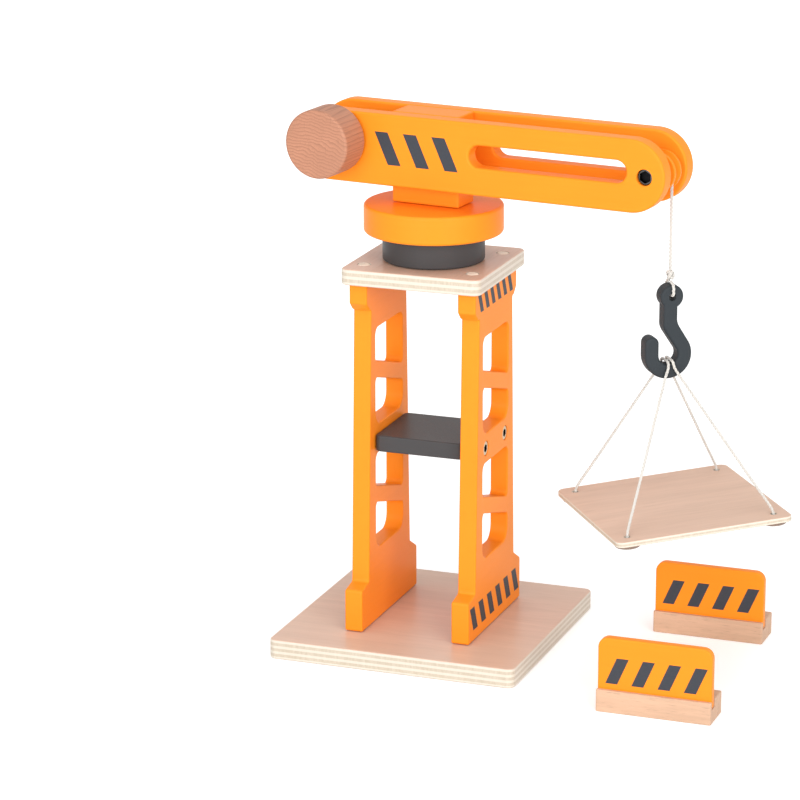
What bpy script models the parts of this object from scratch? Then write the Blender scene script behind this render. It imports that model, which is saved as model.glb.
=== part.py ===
"""Wooden toy tower crane with a hand-turned winch, a hanging load tray and two road barriers.

Sizes are in millimetres and become metres when a mesh is made. X runs along the front edge of
the base, Y goes to the back and Z up. The origin is the middle of the base's underside.
"""

import math

import bmesh
import bpy
from mathutils import Matrix, Vector

MM = 0.001

# Clearances
seat_gap = 0.3
bearing_gap = 0.3
edge_rounding = 0.8

# Base board
base_side = 130.0
base_thickness = 10.0
base_corner_radius = 4.0

# Side frames of the tower
frame_thickness = 9.3
frame_spacing = 47.6
foot_half_depth = 40.1
foot_height = 21.7
ledge_rise_front = 1.9
ledge_rise_back = 5.7
post_foot_half_depth = 30.1
post_head_half_depth = 25.4
head_half_depth = 31.5
head_height = 10.1
head_shoulder = 3.8
foot_rail_height = 38.1
middle_rail_height = 15.4
head_rail_height = 25.3
window_height = 50.0
window_half_width = 19.2
window_top_radius = 4.0
window_bottom_radius = 7.0
brace_thickness = 8.7
brace_slope = 0.28
brace_drop = 1.2
brace_corner_radius = 2.5

# Shelf between the frames, and its bolts
shelf_thickness = 8.4
shelf_drop = 1.0
shelf_depth = 44.5
shelf_corner_radius = 3.0
shelf_bolt_spacing = 29.2
shelf_bolt_head_radius = 3.6
shelf_bolt_head_length = 3.0
shelf_bolt_radius = 1.7
shelf_bolt_bite = 13.0
hex_socket_radius = 1.9
hex_socket_depth = 2.0

# Screws up through the base
base_screw_spacing = 46.0
base_screw_radius = 1.75
base_screw_head_radius = 3.5
base_screw_head_length = 2.6
base_screw_bite = 15.0

# Top plate and the dowels that hold it down
top_plate_side = 73.1
top_plate_thickness = 8.0
top_plate_corner_radius = 4.5
dowel_spacing = 46.0
dowel_radius = 3.1
dowel_bite = 12.0

# Swivel
bearing_disc_radius = 25.6
bearing_disc_thickness = 13.8
turntable_radius = 34.9
turntable_thickness = 14.4
turntable_rounding = 1.6
pivot_radius = 3.0
pivot_head_radius = 6.0
pivot_head_thickness = 3.5
washer_radius = 6.2
washer_thickness = 1.2
locknut_radius = 5.6
locknut_height = 4.6
neck_screw_offset = 12.5
neck_screw_radius = 1.75
neck_screw_head_radius = 3.4
neck_screw_head_length = 2.4
neck_screw_bite = 14.0

# Boom, turned from the base's edge as it stands
boom_heading_deg = -7.0
neck_height = 9.9
boom_height = 36.0
boom_plate_thickness = 8.8
boom_gap = 18.2
boom_nose_setback = 7.5
boom_rear_reach = 50.0
slot_start = 27.7
slot_end_setback = 9.5
slot_height = 11.1
slot_rise = 1.45
block_length = 36.6
block_offset = -0.4
block_dowel_offset = 11.0
block_dowel_drop = 7.0
block_dowel_radius = 3.0
block_dowel_bite = 5.0

# Winch at the boom's rear
winch_reach = 45.2
winch_rise = 4.0
axle_radius = 3.0
knob_radius = 17.2
knob_length = 19.5
knob_rounding = 1.4
knob_bore_depth = 12.0
felt_radius = 9.0
felt_thickness = 1.0
axle_cap_radius = 7.0
axle_cap_length = 6.0
axle_cap_bore_depth = 3.6

# Pulley and its bolt at the boom's tip
tip_bolt_reach = 121.0
tip_sleeve_radius = 2.5
tip_head_radius = 3.8
tip_head_length = 3.4
tip_head_recess = 1.3
tip_socket_radius = 3.0
tip_socket_depth = 2.6
tip_screw_radius = 1.4
tip_screw_bite = 9.0
pulley_radius = 10.0
pulley_groove_radius = 5.8
pulley_rim_width = 2.2
pulley_groove_width = 4.6
pulley_hub_radius = 5.2
pulley_side_gap = 0.5

# Cords
cord_diameter = 1.4
sling_diameter = 1.3
winding_turns = 3
winding_pitch = 1.95
points_per_turn = 24
lead_turn_share = 0.8
cord_bore_radius = 2.3
straight_point_spacing = 7.0

# Hook, cut from one board and hung so far below the boom's middle
hook_drop = 60.8
hook_heading_deg = 37.0
hook_thickness = 8.0
hook_rounding = 1.4
hook_eye_radius = 5.9
hook_hole_radius = 1.9
shank_right = 3.0
shank_left = -4.2
shank_right_length = 13.5
shank_left_length = 15.9
bowl_centre = (-1.4, -28.8)
bowl_outer_radius = 12.0
bowl_inner_radius = 4.9
hook_tip_lift = 5.8
knot_radius = 2.3
knot_height = 4.8
loop_height = 7.9

# Load tray and its slings
sling_drop = 71.7
tray_lean_deg = 3.5
tray_side = 90.4
tray_thickness = 2.8
tray_corner_radius = 4.0
tray_hole_inset = 7.5
tray_hole_radius = 1.7
tray_pad_radius = 6.2
tray_pad_thickness = 1.4
sling_knot_radius = 2.2
sling_shift = 0.8
sling_offset = 1.05
sling_lift = 0.65
sling_side_gap = 0.75
sling_leave_rise = 2.6
sling_leave_shift = 0.7
sling_lean_rise = 15.0
sling_lean_shift = (7.2, 6.6)

# Road barriers
barrier_length = 57.6
barrier_depth = 19.5
barrier_block_height = 11.3
barrier_height = 37.4
barrier_panel_thickness = 4.6
barrier_set_back = 2.2
barrier_groove_depth = 4.0
barrier_corner_radius = 5.0
rear_barrier_place = (134.4, 49.0)
front_barrier_place = (140.6, -69.5)

# Levels and places worked out from the sizes above
frame_bottom = base_thickness + seat_gap
boom_front_reach = tip_bolt_reach - boom_nose_setback
slot_end = tip_bolt_reach - slot_end_setback
frame_height = foot_rail_height + 2.0 * window_height + middle_rail_height + head_rail_height
frame_top = frame_bottom + frame_height
frame_middle_x = frame_spacing / 2.0 + frame_thickness / 2.0
frame_outer_x = frame_spacing / 2.0 + frame_thickness
lower_window_bottom = frame_bottom + foot_rail_height
upper_window_bottom = lower_window_bottom + window_height + middle_rail_height
shelf_bolt_level = lower_window_bottom + window_height + middle_rail_height / 2.0
shelf_middle = shelf_bolt_level - shelf_drop
top_plate_bottom = frame_top + seat_gap
top_plate_top = top_plate_bottom + top_plate_thickness
bearing_bottom = top_plate_top + seat_gap
bearing_top = bearing_bottom + bearing_disc_thickness
turntable_bottom = bearing_top + bearing_gap
turntable_top = turntable_bottom + turntable_thickness
boom_middle = turntable_top + neck_height + boom_height / 2.0
boom_half_gap = boom_gap / 2.0
boom_half_width = boom_half_gap + boom_plate_thickness
boom_half_height = boom_height / 2.0
block_half_width = boom_half_gap - seat_gap
block_rear = block_offset - block_length / 2.0
block_front = block_offset + block_length / 2.0
cord_radius = cord_diameter / 2.0
sling_radius = sling_diameter / 2.0
drum_radius = axle_radius + seat_gap + cord_radius
pulley_cord_radius = pulley_groove_radius + seat_gap + cord_radius
hook_reach = tip_bolt_reach + pulley_cord_radius
counterbore_radius = washer_radius + bearing_gap
counterbore_depth = washer_thickness + locknut_height + 2.0 * seat_gap

# Which way a flat outline or a turned piece faces: its own X, Y and Z on the crane
FACING_UP = Matrix.Identity(4)
FACING_RIGHT = Matrix(((0, 0, 1, 0), (1, 0, 0, 0), (0, 1, 0, 0), (0, 0, 0, 1)))
FACING_LEFT = Matrix(((0, 0, -1, 0), (-1, 0, 0, 0), (0, 1, 0, 0), (0, 0, 0, 1)))
FACING_FRONT = Matrix(((1, 0, 0, 0), (0, 0, -1, 0), (0, 1, 0, 0), (0, 0, 0, 1)))
FACING_BACK = Matrix(((-1, 0, 0, 0), (0, 0, 1, 0), (0, 1, 0, 0), (0, 0, 0, 1)))
FACING_DOWN = Matrix(((1, 0, 0, 0), (0, -1, 0, 0), (0, 0, -1, 0), (0, 0, 0, 1)))


def clear_scene():
    for obj in list(bpy.data.objects):
        bpy.data.objects.remove(obj, do_unlink=True)


def make_material(name, colour, roughness, metallic=0.0):
    material = bpy.data.materials.new(name)
    material.use_nodes = True
    shader = material.node_tree.nodes["Principled BSDF"]
    shader.inputs["Base Color"].default_value = (*colour, 1.0)
    shader.inputs["Roughness"].default_value = roughness
    shader.inputs["Metallic"].default_value = metallic
    return material


def make_frame(name, parent=None, place=(0.0, 0.0, 0.0), heading_deg=0.0, lean_deg=0.0):
    """An empty on a joint's axis that carries what moves there. A lean raises its +X side."""
    empty = bpy.data.objects.new(name, None)
    bpy.context.scene.collection.objects.link(empty)
    empty.parent = parent
    heading = Matrix.Rotation(math.radians(heading_deg), 4, "Z")
    lean = Matrix.Rotation(math.radians(-lean_deg), 4, "Y")
    empty.matrix_local = Matrix.Translation(Vector(place) * MM) @ heading @ lean
    return empty


def link_mesh(name, shape, material, parent, place, facing):
    """Turns a shape in millimetres into an object in metres."""
    bmesh.ops.recalc_face_normals(shape, faces=shape.faces[:])
    bmesh.ops.transform(shape, matrix=Matrix.Scale(MM, 4), verts=shape.verts[:])
    mesh = bpy.data.meshes.new(name)
    shape.to_mesh(mesh)
    shape.free()
    mesh.shade_smooth()
    mesh.set_sharp_from_angle(angle=math.radians(35.0))
    mesh.materials.append(material)
    obj = bpy.data.objects.new(name, mesh)
    bpy.context.scene.collection.objects.link(obj)
    obj.parent = parent
    obj.matrix_local = Matrix.Translation(Vector(place) * MM) @ facing
    return obj


# Outlines

def arc(centre, radius, start_deg, end_deg, steps):
    """Points along an arc, both ends included."""
    found = []
    for step in range(steps + 1):
        angle = math.radians(start_deg + (end_deg - start_deg) * step / steps)
        found.append((centre[0] + radius * math.cos(angle), centre[1] + radius * math.sin(angle)))
    return found


def circle(radius, steps=16, centre=(0.0, 0.0)):
    """A round hole's outline, which runs the other way round than an outer outline."""
    return arc(centre, radius, 360.0, 360.0 / steps, steps - 1)


def rounded(corners, steps=3):
    """An outline from its corners (x, y, radius), with an arc at each corner that has a radius."""
    found = []
    for index, (x, y, radius) in enumerate(corners):
        corner = Vector((x, y))
        if radius <= 0.0:
            found.append((x, y))
            continue
        before = (Vector(corners[index - 1][:2]) - corner).normalized()
        after = (Vector(corners[(index + 1) % len(corners)][:2]) - corner).normalized()
        half_angle = before.angle(after) / 2.0
        centre = corner + (before + after).normalized() * (radius / math.sin(half_angle))
        start = corner + before * (radius / math.tan(half_angle)) - centre
        end = corner + after * (radius / math.tan(half_angle)) - centre
        turn = start.angle_signed(end)
        for step in range(steps + 1):
            point = start.copy()
            point.rotate(Matrix.Rotation(-turn * step / steps, 2))
            found.append(tuple(centre + point))
    return found


def rounded_rectangle(width, depth, radius, steps=4):
    x, y = width / 2.0, depth / 2.0
    return rounded([(-x, -y, radius), (x, -y, radius), (x, y, radius), (-x, y, radius)], steps)


def moved_in(outline, distance):
    """The outline with each point moved into the material, square to its two sides."""
    found = []
    for index, point in enumerate(outline):
        here = Vector(point)
        into = (here - Vector(outline[index - 1])).normalized()
        out = (Vector(outline[(index + 1) % len(outline)]) - here).normalized()
        left_in = Vector((-into.y, into.x))
        left_out = Vector((-out.y, out.x))
        found.append(tuple(here + (left_in + left_out) * (distance / (1.0 + left_in.dot(left_out)))))
    return found


# Solids

def board(outline, thickness, rounding=edge_rounding, holes=(), plain_holes=(), steps=1):
    """A board of one outline, its edges and those of its windows rounded, cut through by holes."""
    shape = bmesh.new()
    cap_edges = ([], [])
    loops = [(outline, rounding)] + [(hole, rounding) for hole in holes]
    loops += [(hole, 0.0) for hole in plain_holes]
    for loop, radius in loops:
        levels = [(0.0, 0.0), (0.0, thickness)]
        if radius > 0.0:
            angles = [math.pi / 2.0 * step / steps for step in range(steps + 1)]
            rise = [(radius * (1 - math.sin(a)), radius * (1 - math.cos(a))) for a in angles]
            levels = rise + [(inset, thickness - z) for inset, z in reversed(rise)]
        rings = []
        for inset, z in levels:
            ring = moved_in(loop, inset) if inset else loop
            rings.append([shape.verts.new((x, y, z)) for x, y in ring])
        for low, high in zip(rings, rings[1:]):
            for index in range(len(low)):
                shape.faces.new((low[index - 1], low[index], high[index], high[index - 1]))
        for edges, ring in zip(cap_edges, (rings[0], rings[-1])):
            edges += [shape.edges.get((ring[index - 1], ring[index])) for index in range(len(ring))]
    for edges in cap_edges:
        bmesh.ops.triangle_fill(shape, edges=edges, use_beauty=True)
    return shape


def turned(profile, steps=20):
    """A piece turned about Z from its profile of (radius, height). It is bored if no point is at 0."""
    shape = bmesh.new()
    points = [shape.verts.new((radius, 0.0, height)) for radius, height in profile]
    sides = [shape.edges.new(pair) for pair in zip(points, points[1:])]
    if min(radius for radius, height in profile) > 0.0:
        sides.append(shape.edges.new((points[-1], points[0])))
    bmesh.ops.spin(
        shape,
        geom=points + sides,
        cent=(0.0, 0.0, 0.0),
        axis=(0.0, 0.0, 1.0),
        angle=2.0 * math.pi,
        steps=steps,
        use_merge=True,
    )
    bmesh.ops.remove_doubles(shape, verts=shape.verts[:], dist=1e-4)
    return shape


def rod_profile(radius, length, rounding=0.4, steps=1):
    """The profile of a solid rod from 0 up to its length, with rounded ends."""
    low = arc((radius - rounding, rounding), rounding, -90.0, 0.0, steps)
    high = arc((radius - rounding, length - rounding), rounding, 0.0, 90.0, steps)
    return [(0.0, 0.0)] + low + high + [(0.0, length)]


def ring_profile(inner_radius, outer_radius, length, rounding=0.4, steps=1):
    """The profile of a bored disc or a washer from 0 up to its thickness."""
    low = arc((outer_radius - rounding, rounding), rounding, -90.0, 0.0, steps)
    high = arc((outer_radius - rounding, length - rounding), rounding, 0.0, 90.0, steps)
    return [(inner_radius, 0.0)] + low + high + [(inner_radius, length)]


def screw_profile(radius, length, head_radius, head_length):
    """A countersunk screw, its head's flat face at 0 and its tip up."""
    return [
        (0.0, 0.0),
        (head_radius, 0.0),
        (head_radius, 0.4),
        (radius, head_length),
        (radius, length - radius),
        (0.3, length),
        (0.0, length),
    ]


def bolt_profile(radius, length, head_radius, head_length):
    """A bolt with a plain cylinder head, the head's face at 0 and its shank up."""
    return [
        (0.0, 0.0),
        (head_radius - 0.3, 0.0),
        (head_radius, 0.3),
        (head_radius, head_length),
        (radius, head_length),
        (radius, length - 0.4),
        (radius - 0.4, length),
        (0.0, length),
    ]


def cut(target, shape, place=(0.0, 0.0, 0.0), facing=FACING_UP):
    """Takes a shape out of the target, both placed in the target's own parent frame."""
    count = len(target.modifiers) + 1
    cutter = link_mesh(
        f"{target.name}_cutter_{count}", shape, target.data.materials[0], target.parent, place, facing
    )
    cutter.hide_render = True
    cutter.display_type = "WIRE"
    modifier = target.modifiers.new(f"cut_{count}", "BOOLEAN")
    modifier.operation = "DIFFERENCE"
    modifier.solver = "EXACT"
    modifier.object = cutter


def drill(target, steps, place, facing, sides=16):
    """A stepped round hole from the place along the facing's Z, as (radius, depth) from wide to slim."""
    overshoot = 1.0
    profile = [(0.0, 0.0)]
    for radius, depth in steps:
        profile.append((radius, profile[-1][1]))
        profile.append((radius, depth + overshoot))
    profile.append((0.0, profile[-1][1]))
    start = Vector(place) - Vector(facing.col[2][:3]) * overshoot
    half_a_side = Matrix.Rotation(math.pi / sides, 4, "Z")
    cut(target, turned(profile, sides), start, facing @ half_a_side)


def countersink(target, radius, head_radius, head_length, depth, place):
    """A screw's hole up into the target, with a cone for its head."""
    overshoot = 1.0
    radius += seat_gap
    head_radius += seat_gap
    profile = [
        (0.0, 0.0),
        (head_radius, 0.0),
        (head_radius, overshoot + 0.6),
        (radius, overshoot + head_length + 2.0 * seat_gap),
        (radius, overshoot + depth),
        (0.0, overshoot + depth),
    ]
    start = Vector(place) - Vector((0.0, 0.0, overshoot))
    cut(target, turned(profile, 10), start)


def cord(name, points, diameter, material, parent, sides_resolution=2):
    """A cord as a round tube with filled ends along its points."""
    curve = bpy.data.curves.new(name, "CURVE")
    curve.dimensions = "3D"
    curve.bevel_depth = diameter / 2.0 * MM
    curve.bevel_resolution = sides_resolution
    curve.use_fill_caps = True
    spline = curve.splines.new("POLY")
    spline.points.add(len(points) - 1)
    for point, place in zip(spline.points, points):
        point.co = (*(Vector(place) * MM), 1.0)
    curve.materials.append(material)
    obj = bpy.data.objects.new(name, curve)
    bpy.context.scene.collection.objects.link(obj)
    obj.parent = parent
    return obj


def smooth_route(knots, spacing):
    """Points along a smooth curve through the knots, no further apart than the spacing."""
    knots = [Vector(knot) for knot in knots]
    padded = [2 * knots[0] - knots[1]] + knots + [2 * knots[-1] - knots[-2]]
    found = [knots[0]]
    for before, start, end, after in zip(padded, padded[1:], padded[2:], padded[3:]):
        span = (end - start).length
        leave = (end - before).normalized() * span
        arrive = (after - start).normalized() * span
        count = max(1, math.ceil(span / spacing))
        for step in range(1, count + 1):
            t = step / count
            found.append(
                start * (2 * t**3 - 3 * t**2 + 1)
                + leave * (t**3 - 2 * t**2 + t)
                + end * (3 * t**2 - 2 * t**3)
                + arrive * (t**3 - t**2)
            )
    return found


# Tower

def base_plate(material):
    outline = rounded_rectangle(base_side, base_side, base_corner_radius)
    plate = link_mesh("base_plate", board(outline, base_thickness), material, None, (0, 0, 0), FACING_UP)
    for place in base_screw_places():
        countersink(plate, base_screw_radius, base_screw_head_radius, base_screw_head_length,
                    base_thickness + 2.0, (*place, 0.0))


def base_screw_places():
    half = base_screw_spacing / 2.0
    return [(side * frame_middle_x, end * half) for side in (-1, 1) for end in (-1, 1)]


def base_screws(material):
    length = base_thickness + base_screw_bite
    profile = screw_profile(
        base_screw_radius, length, base_screw_head_radius, base_screw_head_length
    )
    names = ("left_front", "left_rear", "right_front", "right_rear")
    for name, (x, y) in zip(names, base_screw_places()):
        link_mesh(f"base_screw_{name}", turned(profile, 8), material, None, (x, y, 0.2), FACING_UP)


def side_frame_outline():
    """The frame's outer edge: a splayed foot with ledges, a tapering post and a shouldered head."""
    low = foot_height
    back_ledge = foot_height + ledge_rise_back
    front_ledge = foot_height + ledge_rise_front
    under_head = frame_height - head_height - head_shoulder
    over_shoulder = frame_height - head_height
    inner_head = head_half_depth - head_shoulder
    return rounded(
        [
            (-foot_half_depth, 0.0, 1.2),
            (foot_half_depth, 0.0, 1.2),
            (foot_half_depth, low, 1.5),
            (post_foot_half_depth, back_ledge, 1.5),
            (post_head_half_depth, under_head, 1.2),
            (inner_head, under_head, 1.2),
            (head_half_depth, over_shoulder, 1.2),
            (head_half_depth, frame_height, 1.2),
            (-head_half_depth, frame_height, 1.2),
            (-head_half_depth, over_shoulder, 1.2),
            (-inner_head, under_head, 1.2),
            (-post_head_half_depth, under_head, 1.2),
            (-post_foot_half_depth, front_ledge, 1.5),
            (-foot_half_depth, low, 1.5),
        ],
        2,
    )


def window_pair(bottom):
    """The two windows of one tall opening, which a slanting brace divides. Both run clockwise."""
    w = window_half_width
    top = bottom + window_height
    brace_middle = (bottom + top) / 2.0 - brace_drop
    lean = brace_slope * w
    over = brace_middle + brace_thickness / 2.0
    under = brace_middle - brace_thickness / 2.0
    upper = [
        (-w, over + lean, brace_corner_radius),
        (-w, top, window_top_radius),
        (w, top, window_top_radius),
        (w, over - lean, brace_corner_radius),
    ]
    lower = [
        (-w, bottom, window_bottom_radius),
        (-w, under + lean, brace_corner_radius),
        (w, under - lean, brace_corner_radius),
        (w, bottom, window_bottom_radius),
    ]
    return [rounded(upper), rounded(lower)]


def side_frame(name, inner_x, outward, material):
    """One side frame, with its holes for the base screws, the dowels and the shelf's bolts."""
    lower = window_pair(foot_rail_height)
    upper = window_pair(foot_rail_height + window_height + middle_rail_height)
    shape = board(side_frame_outline(), frame_thickness, holes=lower + upper)
    left_face = inner_x if outward > 0 else inner_x - frame_thickness
    place = (left_face, 0.0, frame_bottom)
    frame = link_mesh(name, shape, material, None, place, FACING_RIGHT)
    middle_x = left_face + frame_thickness / 2.0
    for end in (-1, 1):
        screw_mouth = (middle_x, end * base_screw_spacing / 2.0, frame_bottom)
        screw_hole = [(base_screw_radius + seat_gap, base_screw_bite + seat_gap)]
        drill(frame, screw_hole, screw_mouth, FACING_UP, 8)
        dowel_mouth = (middle_x, end * dowel_spacing / 2.0, frame_top)
        dowel_hole = [(dowel_radius + seat_gap, dowel_bite + seat_gap)]
        drill(frame, dowel_hole, dowel_mouth, FACING_DOWN, 12)
        bolt_mouth = (inner_x + outward * frame_thickness, end * shelf_bolt_spacing / 2.0, shelf_bolt_level)
        bolt_hole = [
            (shelf_bolt_head_radius + seat_gap, shelf_bolt_head_length + 2.0 * seat_gap),
            (shelf_bolt_radius + seat_gap, frame_thickness + 1.0),
        ]
        drill(frame, bolt_hole, bolt_mouth, FACING_LEFT if outward > 0 else FACING_RIGHT, 12)
    return frame


def shelf(material):
    outline = rounded_rectangle(frame_spacing - 2.0 * seat_gap, shelf_depth, shelf_corner_radius)
    place = (0.0, 0.0, shelf_middle - shelf_thickness / 2.0)
    plate = link_mesh("shelf", board(outline, shelf_thickness), material, None, place, FACING_UP)
    end_x = frame_spacing / 2.0
    for y in (-shelf_bolt_spacing / 2.0, shelf_bolt_spacing / 2.0):
        for side, inward in ((1, FACING_LEFT), (-1, FACING_RIGHT)):
            mouth = (side * end_x, y, shelf_bolt_level)
            bolt_hole = [(shelf_bolt_radius + seat_gap, shelf_bolt_bite + 2.0 * seat_gap)]
            drill(plate, bolt_hole, mouth, inward, 12)


def shelf_bolts(material):
    """Bolts with sunk hexagon-socket heads, through each frame and into the shelf's ends."""
    length = frame_thickness + shelf_bolt_bite - seat_gap
    profile = bolt_profile(
        shelf_bolt_radius, length, shelf_bolt_head_radius, shelf_bolt_head_length
    )
    for side_name, side, inward in (("left", -1, FACING_RIGHT), ("right", 1, FACING_LEFT)):
        for end_name, end in (("front", -1), ("rear", 1)):
            place = (side * (frame_outer_x - seat_gap), end * shelf_bolt_spacing / 2.0, shelf_bolt_level)
            name = f"shelf_bolt_{side_name}_{end_name}"
            bolt = link_mesh(name, turned(profile, 12), material, None, place, inward)
            drill(bolt, [(hex_socket_radius, hex_socket_depth)], place, inward, 6)


def dowel_places():
    half = dowel_spacing / 2.0
    return [(side * frame_middle_x, end * half) for side in (-1, 1) for end in (-1, 1)]


def top_plate(material):
    outline = rounded_rectangle(top_plate_side, top_plate_side, top_plate_corner_radius)
    holes = [circle(dowel_radius + seat_gap, 16, place) for place in dowel_places()]
    holes.append(circle(pivot_radius + bearing_gap))
    shape = board(outline, top_plate_thickness, plain_holes=holes)
    link_mesh("top_plate", shape, material, None, (0.0, 0.0, top_plate_bottom), FACING_UP)


def plate_dowels(material):
    """Dowels that show in the top plate and reach down into the frames' heads."""
    length = top_plate_thickness + seat_gap + dowel_bite
    names = ("left_front", "left_rear", "right_front", "right_rear")
    for name, (x, y) in zip(names, dowel_places()):
        place = (x, y, top_plate_top - length)
        shape = turned(rod_profile(dowel_radius, length), 12)
        link_mesh(f"plate_dowel_{name}", shape, material, None, place, FACING_UP)


def bearing_disc(material):
    bore = pivot_radius + bearing_gap
    shape = turned(ring_profile(bore, bearing_disc_radius, bearing_disc_thickness, 1.0), 40)
    link_mesh("bearing_disc", shape, material, None, (0.0, 0.0, bearing_bottom), FACING_UP)


def pivot(material):
    """The swivel's bolt from under the top plate, with its washer and locknut in the turntable."""
    nut_bottom = turntable_top - locknut_height - seat_gap
    washer_bottom = nut_bottom - seat_gap - washer_thickness
    bolt_bottom = top_plate_bottom - seat_gap - pivot_head_thickness
    length = turntable_top - seat_gap - bolt_bottom
    profile = bolt_profile(pivot_radius, length, pivot_head_radius, pivot_head_thickness)
    link_mesh("pivot_bolt", turned(profile, 12), material, None, (0.0, 0.0, bolt_bottom), FACING_UP)
    washer = turned(ring_profile(pivot_radius + seat_gap, washer_radius, washer_thickness, 0.2), 14)
    link_mesh("pivot_washer", washer, material, None, (0.0, 0.0, washer_bottom), FACING_UP)
    hexagon = arc((0.0, 0.0), locknut_radius, 0.0, 300.0, 5)
    bore = circle(pivot_radius + seat_gap)
    nut = board(hexagon, locknut_height, 0.4, plain_holes=[bore])
    link_mesh("pivot_locknut", nut, material, None, (0.0, 0.0, nut_bottom), FACING_UP)


# Turntable and boom

def turntable(material, boom):
    """The disc that turns on the bearing, counterbored for the nut under the neck block."""
    low = turntable_thickness - counterbore_depth
    r = turntable_rounding
    profile = (
        [(pivot_radius + bearing_gap, 0.0)]
        + arc((turntable_radius - r, r), r, -90.0, 0.0, 2)
        + arc((turntable_radius - r, turntable_thickness - r), r, 0.0, 90.0, 2)
        + [(counterbore_radius, turntable_thickness), (counterbore_radius, low)]
        + [(pivot_radius + bearing_gap, low)]
    )
    place = (0.0, 0.0, turntable_bottom)
    disc = link_mesh("turntable", turned(profile, 40), material, boom, place, FACING_UP)
    for side in (-1, 1):
        countersink(disc, neck_screw_radius, neck_screw_head_radius, neck_screw_head_length,
                    turntable_thickness + 2.0, (side * neck_screw_offset, 0.0, turntable_bottom))


def neck_screws(material, boom):
    length = turntable_thickness + neck_screw_bite
    profile = screw_profile(
        neck_screw_radius, length, neck_screw_head_radius, neck_screw_head_length
    )
    for name, side in (("rear", -1), ("front", 1)):
        place = (side * neck_screw_offset, 0.0, turntable_bottom + 0.2)
        link_mesh(f"neck_screw_{name}", turned(profile, 8), material, boom, place, FACING_UP)


def neck_block(material, boom):
    """The block between the boom plates, bored lengthwise for the hoist cord."""
    bottom = turntable_top + seat_gap
    height = boom_middle + boom_half_height - bottom
    outline = rounded_rectangle(block_length, 2.0 * block_half_width, 1.0, 3)
    place = (block_offset, 0.0, bottom)
    block = link_mesh("neck_block", board(outline, height), material, boom, place, FACING_UP)
    bore_mouth = (block_rear, 0.0, cord_height_at(block_offset))
    drill(block, [(cord_bore_radius, block_length + 2.0)], bore_mouth, FACING_RIGHT, 12)
    screw_hole = [(neck_screw_radius + seat_gap, neck_screw_bite + seat_gap)]
    dowel_hole = [(block_dowel_radius + seat_gap, 2.0 * block_half_width + 2.0)]
    for side in (-1, 1):
        drill(block, screw_hole, (side * neck_screw_offset, 0.0, bottom), FACING_UP, 8)
    for x, z in block_dowel_places():
        drill(block, dowel_hole, (x, block_half_width, z), FACING_FRONT, 12)


def block_dowel_places():
    z = boom_middle - block_dowel_drop
    return [(block_offset + side * block_dowel_offset, z + boom_dowel_step(side)) for side in (-1, 1)]


def boom_dowel_step(side):
    """The rear dowel sits a little higher, clear of the screws that come up from the turntable."""
    return 2.0 if side < 0 else 0.0


def block_dowels(material, boom):
    """Hidden dowels that pin the two boom plates to the block."""
    length = boom_gap + 2.0 * (block_dowel_bite - seat_gap)
    for name, (x, z) in zip(("rear", "front"), block_dowel_places()):
        shape = turned(rod_profile(block_dowel_radius, length), 12)
        link_mesh(f"boom_dowel_{name}", shape, material, boom, (x, length / 2.0, z), FACING_FRONT)


def boom_plate(name, side, material, boom):
    """One boom plate with round ends and its long slot. The side is -1 for the near plate."""
    r = boom_half_height
    outline = arc((boom_front_reach, 0.0), r, -90.0, 90.0, 16)
    outline += arc((-boom_rear_reach, 0.0), r, 90.0, 270.0, 16)
    slot_radius = slot_height / 2.0
    slot = arc((slot_end - slot_radius, slot_rise), slot_radius, 90.0, -90.0, 8)
    slot += arc((slot_start + slot_radius, slot_rise), slot_radius, 270.0, 90.0, 8)
    axle_hole = circle(axle_radius + bearing_gap, 16, (-winch_reach, winch_rise))
    bolt_hole = circle(tip_sleeve_radius + seat_gap, 16, (tip_bolt_reach, 0.0))
    shape = board(outline, boom_plate_thickness, 1.2, [slot], [axle_hole, bolt_hole])
    inner_face = -boom_half_gap if side < 0 else boom_half_width
    plate = link_mesh(name, shape, material, boom, (0.0, inner_face, boom_middle), FACING_FRONT)
    outer_y = side * boom_half_width
    inner_y = side * boom_half_gap
    into = FACING_BACK if side < 0 else FACING_FRONT
    outward = FACING_FRONT if side < 0 else FACING_BACK
    head_hole = [(tip_head_radius + seat_gap, tip_head_recess + tip_head_length + seat_gap)]
    drill(plate, head_hole, (tip_bolt_reach, outer_y, boom_middle), into)
    dowel_hole = [(block_dowel_radius + seat_gap, block_dowel_bite)]
    for x, z in block_dowel_places():
        drill(plate, dowel_hole, (x, inner_y, z), outward, 12)


def tip_bolt(material, boom):
    """A sleeve bolt and its screw, both with sunk heads. The pulley turns on the sleeve."""
    head_y = boom_half_width - tip_head_recess
    length = head_y + boom_half_width - tip_head_recess - tip_head_length - seat_gap
    place = (tip_bolt_reach, -head_y, boom_middle)
    profile = bolt_profile(tip_sleeve_radius, length, tip_head_radius, tip_head_length)
    sleeve = link_mesh("tip_bolt_sleeve", turned(profile, 16), material, boom, place, FACING_BACK)
    socket = [(tip_socket_radius, tip_socket_depth)]
    drill(sleeve, socket, place, FACING_BACK, 6)
    sleeve_end = length - head_y
    far = (tip_bolt_reach, head_y, boom_middle)
    thread_depth = tip_head_length + tip_screw_bite + seat_gap - (head_y - sleeve_end)
    thread = [(tip_screw_radius + seat_gap, thread_depth)]
    drill(sleeve, thread, (tip_bolt_reach, sleeve_end, boom_middle), FACING_FRONT, 12)
    screw_length = tip_head_length + tip_screw_bite
    profile = bolt_profile(tip_screw_radius, screw_length, tip_head_radius, tip_head_length)
    screw = link_mesh("tip_bolt_screw", turned(profile, 16), material, boom, far, FACING_FRONT)
    drill(screw, socket, far, FACING_FRONT, 6)


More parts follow.
